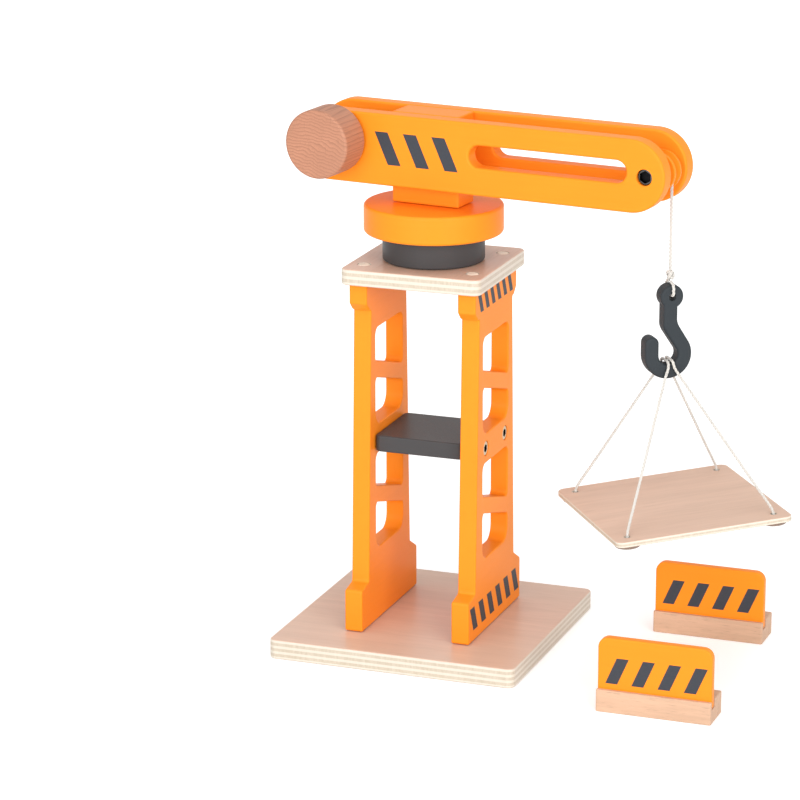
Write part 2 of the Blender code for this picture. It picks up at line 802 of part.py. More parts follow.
def tip_pulley(material, frame):
    """A wide grooved pulley with a hub on each side. The frame stands in its middle."""
    half = boom_half_gap - pulley_side_gap
    rim_inner = pulley_groove_width / 2.0
    rim_outer = rim_inner + pulley_rim_width
    bore = tip_sleeve_radius + bearing_gap
    upper = [
        (pulley_groove_radius, 0.6),
        (pulley_radius, rim_inner + 0.2),
        (pulley_radius, rim_outer - 0.4),
        (pulley_radius - 0.4, rim_outer),
        (pulley_hub_radius, rim_outer),
        (pulley_hub_radius, half),
        (bore, half),
    ]
    profile = [(radius, -height) for radius, height in reversed(upper)] + upper
    link_mesh("tip_pulley", turned(profile, 28), material, frame, (0, 0, 0), FACING_FRONT)


# Winch

def winch(knob_material, rod_material, felt_material, cap_material, frame):
    """The knob, its axle through both plates, the felt washer and the cap. The frame is its axis."""
    felt_back = boom_half_width + seat_gap
    knob_back = felt_back + felt_thickness + seat_gap
    r = knob_rounding
    bore = axle_radius + seat_gap
    knob_profile = (
        [(0.0, knob_bore_depth), (bore, knob_bore_depth), (bore, 0.0)]
        + arc((knob_radius - r, r), r, -90.0, 0.0, 2)
        + arc((knob_radius - r, knob_length - r), r, 0.0, 90.0, 2)
        + [(0.0, knob_length)]
    )
    link_mesh("winch_knob", turned(knob_profile, 48), knob_material, frame,
              (0.0, -knob_back, 0.0), FACING_FRONT)
    felt = turned(ring_profile(bore, felt_radius, felt_thickness, 0.2))
    link_mesh("felt_washer", felt, felt_material, frame, (0.0, -felt_back, 0.0), FACING_FRONT)
    cap_face = boom_half_width + seat_gap
    near_end = knob_back + knob_bore_depth - seat_gap
    far_end = cap_face + axle_cap_bore_depth - seat_gap
    rod = turned(rod_profile(axle_radius, near_end + far_end, 0.5))
    link_mesh("winch_axle", rod, rod_material, frame, (0.0, far_end, 0.0), FACING_FRONT)
    dome = arc((axle_cap_radius - 2.5, axle_cap_length - 2.5), 2.5, 0.0, 90.0, 3)
    cap_profile = (
        [(0.0, axle_cap_bore_depth), (bore, axle_cap_bore_depth), (bore, 0.0)]
        + [(axle_cap_radius - 0.4, 0.0), (axle_cap_radius, 0.4)]
        + dome
        + [(0.0, axle_cap_length)]
    )
    link_mesh("axle_cap", turned(cap_profile, 20), cap_material, frame,
              (0.0, cap_face, 0.0), FACING_BACK)


def on_drum(turn, y):
    """A place on the cord round the axle, so many turns before the top."""
    angle = -2.0 * math.pi * turn
    return (drum_radius * math.sin(angle), y, drum_radius * math.cos(angle))


def wound_cord(material, frame):
    """The turns that go round with the axle, one helix that ends beside the cord's last turn."""
    count = winding_turns * points_per_turn
    turns = [winding_turns - step / points_per_turn for step in range(count + 1)]
    points = [on_drum(turn + lead_turn_share, winding_pitch * (turn + 1.0)) for turn in turns]
    near = [
        (Vector(a) - Vector(b)).length
        for index, a in enumerate(points)
        for b in points[index + points_per_turn // 2:]
    ]
    print(f"wound_cord: least gap between turns {min(near) - cord_diameter:.2f} mm")
    cord("wound_cord", points, cord_diameter, material, frame, 1)


# Hoist cord, hook and slings

def cord_height_at(x):
    """The height of the straight cord between the winch and the pulley at a place along the boom."""
    start = boom_middle + winch_rise + drum_radius
    end = boom_middle + pulley_cord_radius
    return start + (end - start) * (x + winch_reach) / (tip_bolt_reach + winch_reach)


def cord_run(material, boom):
    """The cord's last turn on the axle, its straight run through the block and over the pulley."""
    lead = math.floor(lead_turn_share * points_per_turn)
    turns = [(lead - step) / points_per_turn for step in range(lead)]
    points = [(x - winch_reach, y, z + boom_middle + winch_rise)
              for x, y, z in (on_drum(turn, 0.0) for turn in turns)]
    count = math.ceil((tip_bolt_reach + winch_reach) / straight_point_spacing)
    for step in range(count):
        x = -winch_reach + (tip_bolt_reach + winch_reach) * step / count
        points.append((x, 0.0, cord_height_at(x)))
    over = arc((tip_bolt_reach, boom_middle), pulley_cord_radius, 90.0, 0.0, 8)
    points += [(x, 0.0, z) for x, z in over]
    cord("cord_run", points, cord_diameter, material, boom)


def hoist_cord(material, frame):
    """The hanging stretch from the pulley's side to the knot. The frame is at the hook's eye."""
    top = hook_drop - seat_gap
    bottom = loop_height + knot_height + seat_gap
    count = math.ceil((top - bottom) / straight_point_spacing)
    points = [(0.0, 0.0, top + (bottom - top) * step / count) for step in range(count + 1)]
    cord("hoist_cord", points, cord_diameter, material, frame)


def cord_knot(material, frame):
    """The knot above the eye."""
    egg = [
        (knot_radius * math.sin(a), knot_height / 2.0 * (1.0 - math.cos(a)))
        for a in (math.pi * step / 6 for step in range(7))
    ]
    egg[0] = (0.0, 0.0)
    egg[-1] = (0.0, knot_height)
    link_mesh("cord_knot", turned(egg, 12), material, frame, (0.0, 0.0, loop_height), FACING_UP)


def hook_loop(material, frame):
    """The cord's loop from the knot down one face, through the eye's hole and up the other."""
    rim_bend = hook_rounding + cord_radius + seat_gap
    hole_bend = cord_radius + seat_gap
    rim = (hook_thickness / 2.0 - hook_rounding, hook_eye_radius - hook_rounding)
    hole_edge = (hook_thickness / 2.0, hook_hole_radius)
    half = [(1.3, loop_height - 0.5), (1.9, rim[1] + rim_bend + 0.05)]
    half += arc(rim, rim_bend, 75.0, 0.0, 4)
    half += arc(hole_edge, hole_bend, 0.0, -90.0, 4)
    half.append((hole_edge[0] - 2.0, hole_edge[1] - hole_bend))
    points = [(0.0, y, z) for y, z in half] + [(0.0, -y, z) for y, z in reversed(half)]
    cord("hook_loop", points, cord_diameter, material, frame)


def hook(material, frame):
    """A flat S-shaped hook: a round eye, a cranked shank and a bowl with a blunt tip."""
    cx, cz = bowl_centre
    tip_radius = (bowl_outer_radius - bowl_inner_radius) / 2.0
    tip_x = cx - bowl_inner_radius - tip_radius
    eye_right = math.degrees(math.atan2(-math.sqrt(hook_eye_radius**2 - shank_right**2), shank_right))
    eye_left = math.degrees(math.atan2(-math.sqrt(hook_eye_radius**2 - shank_left**2), shank_left))
    crank_outer = crank(shank_right, -shank_right_length)
    crank_inner = crank(shank_left, -shank_left_length)
    outline = arc((0.0, 0.0), hook_eye_radius, eye_right, eye_left + 360.0, 16)
    outline += crank_inner
    outline += arc((cx, cz), bowl_inner_radius, 22.0, -180.0, 12)
    outline += arc((tip_x, cz + hook_tip_lift), tip_radius, 0.0, 180.0, 6)
    outline += arc((cx, cz), bowl_outer_radius, -180.0, 28.0, 18)
    outline += list(reversed(crank_outer))
    shape = board(outline, hook_thickness, hook_rounding, plain_holes=[circle(hook_hole_radius, 12)],
                  steps=2)
    link_mesh("hook", shape, material, frame, (0.0, hook_thickness / 2.0, 0.0), FACING_FRONT)


def crank(x, z):
    """The rounded bend in one side of the shank."""
    return [(x, z + 2.2), (x + 0.14, z + 0.9), (x + 0.62, z - 0.5), (x + 1.35, z - 1.9)]


def tray(board_material, pad_material, frame):
    """The load board with a hole near each corner and a pad under each. The frame is at the saddle."""
    half = tray_side / 2.0 - tray_hole_inset
    holes = [circle(tray_hole_radius, 12, (x * half, y * half)) for x, y in tray_corners()]
    outline = rounded_rectangle(tray_side, tray_side, tray_corner_radius)
    shape = board(outline, tray_thickness, 0.5, plain_holes=holes)
    bottom = -sling_drop - tray_thickness
    link_mesh("tray_board", shape, board_material, frame, (0.0, 0.0, bottom), FACING_UP)
    pad = ring_profile(sling_knot_radius + seat_gap, tray_pad_radius, tray_pad_thickness, 0.3)
    for name, (x, y) in zip(corner_names(), tray_corners()):
        place = (x * half, y * half, bottom - seat_gap - tray_pad_thickness)
        link_mesh(f"tray_pad_{name}", turned(pad, 14), pad_material, frame, place, FACING_UP)


def tray_corners():
    return [(-1, -1), (1, -1), (1, 1), (-1, 1)]


def corner_names():
    return ("front_left", "front_right", "rear_right", "rear_left")


def slings(material, frame):
    """Two cords laid over the hook, each from one corner of the tray up and down to the next."""
    half = tray_side / 2.0 - tray_hole_inset
    top = -sling_drop
    bottom = top - tray_thickness
    side = hook_thickness / 2.0 + sling_radius + sling_side_gap
    for name, x in (("left", -1), ("right", 1)):
        over = x * sling_offset
        slope = bowl_inner_radius - math.sqrt(bowl_inner_radius**2 - (over + sling_shift) ** 2)
        lift = slope + sling_radius + sling_lift
        strand = [
            (x * half, half, bottom),
            (x * half, half, top - 0.6),
            (x * (half - sling_leave_shift), half - sling_leave_shift, top + sling_leave_rise),
            (x * (half - sling_lean_shift[0]), half - sling_lean_shift[1], top + sling_lean_rise),
            (over + x * 2.4, side + 1.0, -5.0),
            (over + x * 0.6, side - 0.1, -1.5),
            (over + x * 0.1, side - 1.2, lift - 0.5),
            (over, side - 2.8, lift),
        ]
        knots = strand + [(px, -py, pz) for px, py, pz in reversed(strand)]
        cord(f"sling_cord_{name}", smooth_route(knots, straight_point_spacing), sling_diameter,
             material, frame)
    knot = rod_profile(sling_knot_radius, tray_pad_thickness, tray_pad_thickness / 4.0)
    for name, (x, y) in zip(corner_names(), tray_corners()):
        place = (x * half, y * half, bottom - seat_gap - tray_pad_thickness)
        link_mesh(f"sling_knot_{name}", turned(knot, 10), material, frame, place, FACING_UP)


# Road barriers

def barrier(name, place, block_material, panel_material):
    """A block with a lengthwise groove and the panel that stands in it."""
    frame = make_frame(f"{name}_frame", None, (*place, 0.0))
    outline = rounded_rectangle(barrier_length, barrier_depth, 0.8, 2)
    block = link_mesh(f"{name}_block", board(outline, barrier_block_height, 0.5), block_material,
                      frame, (0, 0, 0), FACING_UP)
    groove_width = barrier_panel_thickness + 2.0 * seat_gap
    groove_y = -barrier_depth / 2.0 + barrier_set_back + barrier_panel_thickness / 2.0
    groove_floor = barrier_block_height - barrier_groove_depth
    x, y = barrier_length / 2.0 + 2.0, groove_width / 2.0
    groove = board([(-x, -y), (x, -y), (x, y), (-x, y)], barrier_groove_depth + 2.0, 0.0)
    cut(block, groove, (0.0, groove_y, groove_floor))
    height = barrier_height - groove_floor - seat_gap
    half = barrier_length / 2.0 - 0.3
    corner = barrier_corner_radius
    panel_outline = rounded([(-half, 0.0, 0.5), (half, 0.0, 0.5), (half, height, corner),
                             (-half, height, corner)], 4)
    panel_place = (0.0, groove_y + barrier_panel_thickness / 2.0, groove_floor + seat_gap)
    link_mesh(f"{name}_panel", board(panel_outline, barrier_panel_thickness, 0.7), panel_material,
              frame, panel_place, FACING_FRONT)


def main():
    clear_scene()
    orange = make_material("orange_paint", (1.0, 0.36, 0.02), 0.38)
    grey = make_material("grey_paint", (0.075, 0.078, 0.085), 0.5)
    plywood = make_material("birch_plywood", (0.78, 0.6, 0.44), 0.55)
    beech = make_material("beech", (0.74, 0.48, 0.3), 0.55)
    steel = make_material("zinc_steel", (0.6, 0.59, 0.56), 0.32, 1.0)
    white_cord = make_material("white_cord", (0.86, 0.85, 0.82), 0.85)
    felt = make_material("grey_felt", (0.2, 0.2, 0.2), 0.95)
    pad = make_material("brown_pad", (0.2, 0.14, 0.1), 0.8)

    base_plate(plywood)
    base_screws(steel)
    side_frame("left_side_frame", -frame_spacing / 2.0, -1, orange)
    side_frame("right_side_frame", frame_spacing / 2.0, 1, orange)
    shelf(grey)
    shelf_bolts(steel)
    top_plate(plywood)
    plate_dowels(beech)
    bearing_disc(grey)
    pivot(steel)

    boom = make_frame("boom_swivel_axis", None, (0, 0, 0), boom_heading_deg)
    turntable(orange, boom)
    neck_screws(steel, boom)
    neck_block(orange, boom)
    block_dowels(beech, boom)
    boom_plate("near_boom_plate", -1, orange, boom)
    boom_plate("far_boom_plate", 1, orange, boom)
    tip_bolt(steel, boom)

    winch_axis = make_frame("winch_axis", boom, (-winch_reach, 0.0, boom_middle + winch_rise))
    winch(beech, steel, felt, beech, winch_axis)
    wound_cord(white_cord, winch_axis)
    pulley_axis = make_frame("pulley_axis", boom, (tip_bolt_reach, 0.0, boom_middle))
    tip_pulley(orange, pulley_axis)
    cord_run(white_cord, boom)

    hook_turn = hook_heading_deg - boom_heading_deg
    hook_axis = make_frame("hook_axis", boom, (hook_reach, 0.0, boom_middle - hook_drop), hook_turn)
    hoist_cord(white_cord, hook_axis)
    cord_knot(white_cord, hook_axis)
    hook_loop(white_cord, hook_axis)
    hook(grey, hook_axis)
    saddle = (bowl_centre[0] + sling_shift, 0.0, bowl_centre[1] - bowl_inner_radius)
    tray_axis = make_frame("tray_swing_axis", hook_axis, saddle, 0.0, tray_lean_deg)
    tray(plywood, pad, tray_axis)
    slings(white_cord, tray_axis)

    barrier("rear_barrier", rear_barrier_place, beech, orange)
    barrier("front_barrier", front_barrier_place, beech, orange)


main()
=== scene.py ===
"""Looks of the wooden toy crane: painted boards, plywood, turned beech, twisted cord and a plain studio.

Sizes are in millimetres and become metres when a mesh is made. X runs along the front edge of the
base, Y goes to the back and Z up.
"""

import math

import bmesh
import bpy
from mathutils import Euler, Matrix, Vector


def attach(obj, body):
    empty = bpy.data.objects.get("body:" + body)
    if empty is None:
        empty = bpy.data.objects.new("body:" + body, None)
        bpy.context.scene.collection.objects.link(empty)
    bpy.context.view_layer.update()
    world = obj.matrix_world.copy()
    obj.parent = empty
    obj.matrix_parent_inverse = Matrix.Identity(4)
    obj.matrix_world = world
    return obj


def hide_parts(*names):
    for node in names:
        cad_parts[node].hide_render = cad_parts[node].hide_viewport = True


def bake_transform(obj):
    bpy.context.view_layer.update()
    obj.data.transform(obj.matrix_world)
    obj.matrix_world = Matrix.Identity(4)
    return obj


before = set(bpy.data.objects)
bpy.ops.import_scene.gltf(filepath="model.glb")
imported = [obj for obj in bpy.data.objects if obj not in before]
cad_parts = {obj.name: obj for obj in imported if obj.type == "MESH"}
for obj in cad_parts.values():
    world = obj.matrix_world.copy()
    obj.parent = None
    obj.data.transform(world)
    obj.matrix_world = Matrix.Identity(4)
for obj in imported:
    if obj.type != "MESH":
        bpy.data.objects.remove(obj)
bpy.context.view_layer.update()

bl_info = {
    "name": "Wooden toy crane",
    "version": (1, 0, 0),
    "blender": (4, 5, 0),
    "location": "3D View > Sidebar > Toy crane",
    "description": "Builds the finished surfaces of a wooden toy crane around its solid model",
    "category": "Object",
}

MM = 0.001
SHARP_ANGLE = math.radians(35.0)

# Gap between a piece and its seat, how far a cutter stands out of its hole, edge of small turned pieces
seat_gap, overshoot, turned_edge = 0.3, 1.0, 0.4
# The same edge rounded in three points: how far in from the side and from the end of the piece
rounded_edge = ((0.0, turned_edge), (0.12, 0.12), (turned_edge, 0.0))

# Base board, top plate and shelf
base_side, base_thickness, base_corner = 130.0, 10.0, 4.0
top_side, top_thickness, top_corner, top_bottom = 73.1, 8.0, 4.5, 189.4
shelf_width, shelf_depth, shelf_thickness, shelf_corner, shelf_bottom = 47.0, 44.5, 8.4, 3.0, 100.9

# Side frames
frame_bottom, frame_height, frame_thickness, frame_spacing = 10.3, 178.8, 9.3, 47.6
frame_middle = (frame_spacing + frame_thickness) / 2.0
frame_face = frame_spacing / 2.0 + frame_thickness
foot_half_depth, foot_height, frame_corner, ledge_corner = 40.1, 21.7, 1.2, 1.5
ledge_rise_front, ledge_rise_back = 1.9, 5.7
post_foot_half_depth, post_head_half_depth = 30.1, 25.4
head_half_depth, head_height, head_shoulder = 31.5, 10.1, 3.8
window_bottoms, window_height, window_half_width = (38.1, 103.5), 50.0, 19.2
window_top_radius, window_bottom_radius, brace_corner_radius = 4.0, 7.0, 2.5
brace_thickness, brace_slope, brace_drop = 8.7, 0.28, 1.2
dowel_half_spacing, dowel_radius, dowel_length, dowel_rounding = 23.0, 3.1, 20.3, 0.5
bolt_half_spacing, bolt_level, bolt_length = 14.6, 106.1, 22.0
bolt_head_radius, bolt_head_length, bolt_head_edge, bolt_radius = 3.6, 3.0, 0.35, 1.7
# Hexagon socket of the shelf bolts; its walls and floor, inside the skin, are painted near black as shade
socket_radius, socket_depth, socket_skin = 2.2, 2.0, 0.02

# Screws: radius, head radius and head length
base_screw, neck_screw = (1.75, 3.5, 2.6), (1.75, 3.4, 2.4)
base_screw_half_spacing, neck_screw_offset = 23.0, 12.5

# Swivel
disc_radius, disc_thickness, disc_bottom, disc_rounding = 25.6, 13.8, 197.7, 1.0
turntable_radius, turntable_thickness, turntable_bottom, turntable_rounding = 34.9, 14.4, 211.8, 1.6
pivot_bore, nut_bore, nut_bore_depth = 3.3, 6.5, 6.4
block_length, block_half_width, block_offset, block_bottom, block_height = 36.6, 8.8, -0.4, 226.5, 45.6
block_corner, block_rounding, block_bore_radius = 1.0, 0.8, 2.3

# Boom
boom_heading = -7.0
boom_middle, boom_half_height, boom_half_gap, boom_half_width = 254.1, 18.0, 9.1, 17.9
boom_front_reach, boom_rear_reach, plate_thickness = 113.5, 50.0, 8.8
slot_start, slot_end, slot_half_height, slot_rise = 27.7, 111.5, 5.55, 1.45

# Winch
winch_reach, winch_rise = 45.2, 4.0
axle_radius, axle_near_end, axle_far_end, axle_rounding = 3.0, 31.2, 21.5, 0.5
knob_radius, knob_length, knob_rounding, knob_bore, knob_bore_depth = 17.2, 19.5, 1.4, 3.3, 12.0
felt_radius, felt_thickness, felt_rounding = 9.0, 1.0, 0.3
cap_radius, cap_length, cap_dome, cap_bore_depth = 7.0, 6.0, 2.5, 3.6

# Tip bolt and pulley
tip_reach, tip_sleeve_radius, tip_head_radius, tip_head_length, tip_recess = 121.0, 2.5, 3.8, 3.4, 1.3
tip_screw_radius, tip_screw_bite, tip_socket_radius, tip_socket_depth = 1.4, 9.0, 3.2, 2.6
pulley_radius, pulley_groove_radius, pulley_rim_inner, pulley_rim_outer = 10.0, 5.8, 2.3, 4.5
pulley_hub_radius, pulley_hub_edge, pulley_half_length, pulley_bore, pulley_lip = 5.2, 0.3, 8.6, 2.8, 0.2
pulley_groove_end = 152.0

# Cords. The make of their strands is given as shares of the cord's diameter
cord_diameter, sling_diameter = 1.4, 1.3
cord_fullness, cord_lay, strand_offset, strand_radius = 1.14, 3.6, 0.26, 0.245
strands, strand_sides, rings_a_lay = 3, 6, 11.0
drum_radius, pulley_cord_radius = 4.0, 6.8
winding_turns, winding_pitch, steps_a_turn = 3, 1.95, 36
lead_turns, lead_steps = 19.0 / 24.0, 40
cord_drop_start, cord_end_cover, cord_bend_start = 0.15, 0.6, 0.2

# Hook
hook_drop, hook_turn, hook_thickness, hook_rounding = 60.8, 44.0, 8.0, 1.4
eye_radius, eye_hole_radius, shank_right, shank_left = 5.9, 1.9, 3.0, -4.2
shank_right_length, shank_left_length = 13.5, 15.9
shank_bend = ((0.0, 2.2), (0.14, 0.9), (0.62, -0.5), (1.35, -1.9))
bowl_centre, bowl_outer, bowl_inner, hook_tip_lift = (-1.4, -28.8), 12.0, 4.9, 5.8
bowl_inner_start, bowl_outer_end = 22.0, 28.0
knot_radius, knot_height, knot_steps = 2.3, 4.8, 90
loop_height, loop_spacing, loop_in_eye = 7.9, 0.4, 2.0
loop_top_reach, loop_top_drop, loop_side_reach, loop_side_rise = 1.3, 0.5, 1.9, 0.05

# Tray and slings
sling_drop, tray_lean = 71.7, 3.5
tray_side, tray_thickness, tray_corner, tray_rounding = 90.4, 2.8, 4.0, 0.5
tray_hole_inset, tray_hole_radius, pad_radius, pad_thickness, pad_rounding = 7.5, 1.7, 6.2, 1.4, 0.45
tray_hole_reach = tray_side / 2.0 - tray_hole_inset
sling_knot_radius, sling_coil_radius, sling_coil_turns, sling_coil_steps = 2.2, 1.15, 1.35, 40
sling_shift, sling_offset, sling_lift, sling_side_gap, sling_swing_room = 0.8, 1.05, 0.65, 0.75, 0.3
sling_hole_depth, sling_leave_rise, sling_leave_shift = 0.6, 2.6, 0.7
sling_lean_rise, sling_lean_shift, sling_spacing = 15.0, (7.2, 6.6), 0.8
# A sling's bends beside the hook, and those over its bowl: out from the strand's own place and upward
sling_bends = ((2.4, 1.0, -5.0), (0.6, 0.05, -1.4))
sling_crown = ((0.1, -1.0, -0.35), (0.0, -2.8, 0.0))

# Road barriers
barrier_length, barrier_depth, barrier_block_height, barrier_height = 57.6, 19.5, 11.3, 37.4
barrier_panel_thickness, barrier_set_back, barrier_groove_depth, barrier_corner = 4.6, 2.2, 4.0, 5.0
block_foot_corner, block_foot_rounding, panel_foot_corner, panel_rounding = 0.8, 0.5, 0.5, 0.7
barrier_places = {"rear": (134.4, 49.0), "front": (140.6, -69.5)}

# Printed bars: first place, pitch, width, top, bottom, sideways shift from top to bottom, count
boom_bars = (-23.6, 15.65, 7.15, 9.0, -7.2, 7.3, 3)
foot_bars = (-38.0, 12.8, 6.5, 28.4, 16.0, 5.3, 6)
head_bars = (-27.4, 8.9, 4.5, 187.5, 178.3, 4.0, 6)
barrier_bars = {"rear": (-19.0, 13.1, 6.0, 28.4, 15.4, -5.6, 4),
                "front": (-19.0, 13.1, 6.0, 27.5, 14.3, -5.6, 4)}
print_height, print_sink = 0.05, 0.03

# Lamps (place and width in metres), the point they aim at, and the camera fitted to the photograph
lamps = {"key": ((-0.15, -2.15, 0.65), 1.5),
         "fill": ((1.6, -1.5, 0.75), 1.6),
         "top": ((0.0, -0.5, 2.1), 2.2)}
lamp_aim = (0.03, 0.0, 0.13)
camera_place, camera_turn = (0.588274, -1.623857, 0.620708), (73.95564, 0.11588, 20.44358)
sensor_width, view_depth = 36.0, 50.0

# The floor, and the distances in metres between which it is lifted further towards white
floor_level, floor_colour, floor_roughness, floor_gloss = -0.05, (0.86, 0.86, 0.86), 0.9, 0.1
lift_near, lift_far, far_floor_lift = 0.3, 1.4, 0.7
WHITE = (1.0, 1.0, 1.0)

# The tower's sides along X and ends along Y
SIDES = {"left": -1, "right": 1}
ENDS = {"front": -1, "rear": 1}

# Where the X, Y and thickness of a flat outline, or the X, Y and axis of a turned piece, point to
RIGHT, BACK, UP = Vector((1.0, 0.0, 0.0)), Vector((0.0, 1.0, 0.0)), Vector((0.0, 0.0, 1.0))
FACING = {"up": (RIGHT, BACK, UP), "down": (RIGHT, -BACK, -UP), "right": (BACK, UP, RIGHT),
          "left": (-BACK, UP, -RIGHT), "front": (RIGHT, UP, -BACK), "back": (-RIGHT, UP, BACK)}


def standing(parent, place, heading=0, lean=0):
    """The frame of what stands at a place in its parent's frame, turned and then leaned."""
    turn = Matrix.Rotation(math.radians(heading), 4, "Z")
    tilt = Matrix.Rotation(math.radians(-lean), 4, "Y")
    return FRAMES[parent] @ Matrix.Translation(Vector(place) * MM) @ turn @ tilt


# Each body's own frame
FRAMES = {"tower": Matrix.Identity(4)}
FRAMES["boom"] = standing("tower", (0, 0, 0), boom_heading)
FRAMES["winch"] = standing("boom", (-winch_reach, 0, boom_middle + winch_rise))
FRAMES["pulley"] = standing("boom", (tip_reach, 0, boom_middle))
FRAMES["hook"] = standing("boom", (tip_reach + pulley_cord_radius, 0, boom_middle - hook_drop), hook_turn)
FRAMES["hoist_line"] = FRAMES["hook"]
saddle = (bowl_centre[0] + sling_shift, 0, bowl_centre[1] - bowl_inner)
FRAMES["tray"] = standing("hook", saddle, 0, tray_lean)
for barrier, place in barrier_places.items():
    FRAMES[f"{barrier}_barrier"] = standing("tower", (*place, 0))


def at_place(body, place, facing="up"):
    turn = Matrix(FACING[facing]).transposed().to_4x4()
    return FRAMES[body] @ Matrix.Translation(Vector(place) * MM) @ turn


def chosen_size(name):
    """A size from the sidebar, in millimetres."""
    return getattr(bpy.context.scene.crane_sizes, name) / MM


# Outlines

def arc(centre, radius, start, end, steps):
    """Points along an arc from one angle to another in degrees, both ends included."""
    found = []
    for step in range(steps + 1):
        angle = math.radians(start + (end - start) * step / steps)
        found.append((centre[0] + radius * math.cos(angle), centre[1] + radius * math.sin(angle)))
    return found


def circle(radius, centre=(0, 0), steps=40):
    return arc(centre, radius, 360, 360 / steps, steps - 1)


def rounded(corners, steps=8):
    """An outline from its corners (x, y, radius), with an arc at each corner."""
    found = []
    for index, (x, y, radius) in enumerate(corners):
        corner = Vector((x, y))
        before = (Vector(corners[index - 1][:2]) - corner).normalized()
        after = (Vector(corners[(index + 1) % len(corners)][:2]) - corner).normalized()
        half_angle = before.angle(after) / 2
        centre = corner + (before + after).normalized() * (radius / math.sin(half_angle))
        start = corner + before * (radius / math.tan(half_angle)) - centre
        end = corner + after * (radius / math.tan(half_angle)) - centre
        turn = start.angle_signed(end)
        for step in range(steps + 1):
            point = start.copy()
            point.rotate(Matrix.Rotation(-turn * step / steps, 2))
            found.append(tuple(centre + point))
    return found


def rounded_rectangle(width, depth, radius, steps=8):
    x, y = width / 2, depth / 2
    return rounded([(-x, -y, radius), (x, -y, radius), (x, y, radius), (-x, y, radius)], steps)


def round_ended(start, end, radius, level, steps):
    """The outline of a long shape with two round ends."""
    return arc((end, level), radius, -90, 90, steps) + arc((start, level), radius, 90, 270, steps)


def moved_in(outline, distance):
    """The outline with each point moved into the material, square to its two sides."""
    found = []
    for index, point in enumerate(outline):
        here = Vector(point)
        into = (here - Vector(outline[index - 1])).normalized()
        out = (Vector(outline[(index + 1) % len(outline)]) - here).normalized()
        left_in = Vector((-into.y, into.x))
        left_out = Vector((-out.y, out.x))
        found.append(tuple(here + (left_in + left_out) * (distance / (1 + left_in.dot(left_out)))))
    return found


# Solids

def board(outline, thickness, rounding, holes=(), plain_holes=(), steps=4):
    """A board of one outline, its edges and those of its windows rounded, cut through by holes."""
    shape = bmesh.new()
    cap_edges = ([], [])
    loops = [(outline, rounding)] + [(hole, rounding) for hole in holes]
    loops += [(hole, 0) for hole in plain_holes]
    for loop, radius in loops:
        levels = [(0, 0), (0, thickness)]
        if radius > 0:
            angles = [math.pi / 2 * step / steps for step in range(steps + 1)]
            rise = [(radius * (1 - math.sin(a)), radius * (1 - math.cos(a))) for a in angles]
            levels = rise + [(inset, thickness - z) for inset, z in reversed(rise)]
        rings = []
        for inset, z in levels:
            ring = moved_in(loop, inset) if inset else loop
            rings.append([shape.verts.new((x, y, z)) for x, y in ring])
        for low, high in zip(rings, rings[1:]):
            close_ring(shape, low, high)
        for edges, ring in zip(cap_edges, (rings[0], rings[-1])):
            edges += [shape.edges.get((ring[index - 1], ring[index])) for index in range(len(ring))]
    for edges in cap_edges:
        bmesh.ops.triangle_fill(shape, edges=edges, use_beauty=True)
    return shape


def close_ring(shape, low, high):
    """The faces between two rings with as many points."""
    for index in range(len(low)):
        shape.faces.new((low[index - 1], low[index], high[index], high[index - 1]))


def turned(profile, steps):
    """A piece turned about Z from its profile of (radius, height). It is bored if no point is at 0."""
    shape = bmesh.new()
    points = [shape.verts.new((radius, 0, height)) for radius, height in profile]
    sides = [shape.edges.new(pair) for pair in zip(points, points[1:])]
    if min(radius for radius, height in profile) > 0:
        sides.append(shape.edges.new((points[-1], points[0])))
    bmesh.ops.spin(shape, geom=points + sides, cent=(0, 0, 0), axis=(0, 0, 1),
                   angle=2 * math.pi, steps=steps, use_merge=True)
    bmesh.ops.remove_doubles(shape, verts=shape.verts[:], dist=1e-4)
    return shape


def round_side(radius, length, rounding, steps=4):
    """The side of a turned piece with both of its edges rounded, from its low end to its high one."""
    low = arc((radius - rounding, rounding), rounding, -90, 0, steps)
    return low + arc((radius - rounding, length - rounding), rounding, 0, 90, steps)


def rod(radius, length, rounding, steps, bore=0):
    """A round rod, or a ring where it has a bore."""
    return turned([(bore, 0)] + round_side(radius, length, rounding) + [(bore, length)], steps)


def bolt(radius, length, head_radius, head_length):
    head = arc((head_radius - bolt_head_edge, bolt_head_edge), bolt_head_edge, -90, 0, 4)
    return turned([(0, 0)] + head + [
        (head_radius, head_length), (radius, head_length), (radius, length - turned_edge),
        (radius - turned_edge, length), (0, length)], 40)


def make_object(name, shape, material, at):
    """Turns a shape in millimetres into an object in metres that stands in the given frame."""
    bmesh.ops.recalc_face_normals(shape, faces=shape.faces[:])
    bmesh.ops.transform(shape, matrix=Matrix.Scale(MM, 4), verts=shape.verts[:])
    mesh = bpy.data.meshes.new(name)
    shape.to_mesh(mesh)
    shape.free()
    mesh.materials.append(material)
    obj = bpy.data.objects.new(name, mesh)
    bpy.context.scene.collection.objects.link(obj)
    obj.matrix_world = at
    return obj


def hole(points, body, place, facing="up", sides=40, side_turn=0.5):
    """The cutter of a round hole and its frame, from points of (radius, depth) below its mouth."""
    profile = [(0, -overshoot), (points[0][0], -overshoot), *points, (0, points[-1][1])]
    turn = Matrix.Rotation(2 * math.pi * side_turn / sides, 4, "Z")
    return turned(profile, sides), at_place(body, place, facing) @ turn


def countersunk(screw, thickness, body, place):
    """The hole of a countersunk screw that goes up through a board."""
    radius, head_radius = screw[0] + seat_gap, screw[1] + seat_gap
    head_room = 2 * seat_gap
    points = [(head_radius, head_room), (radius, head_room + screw[2]),
              (radius, thickness + 2 * overshoot)]
    return hole(points, body, place, sides=32, side_turn=0)


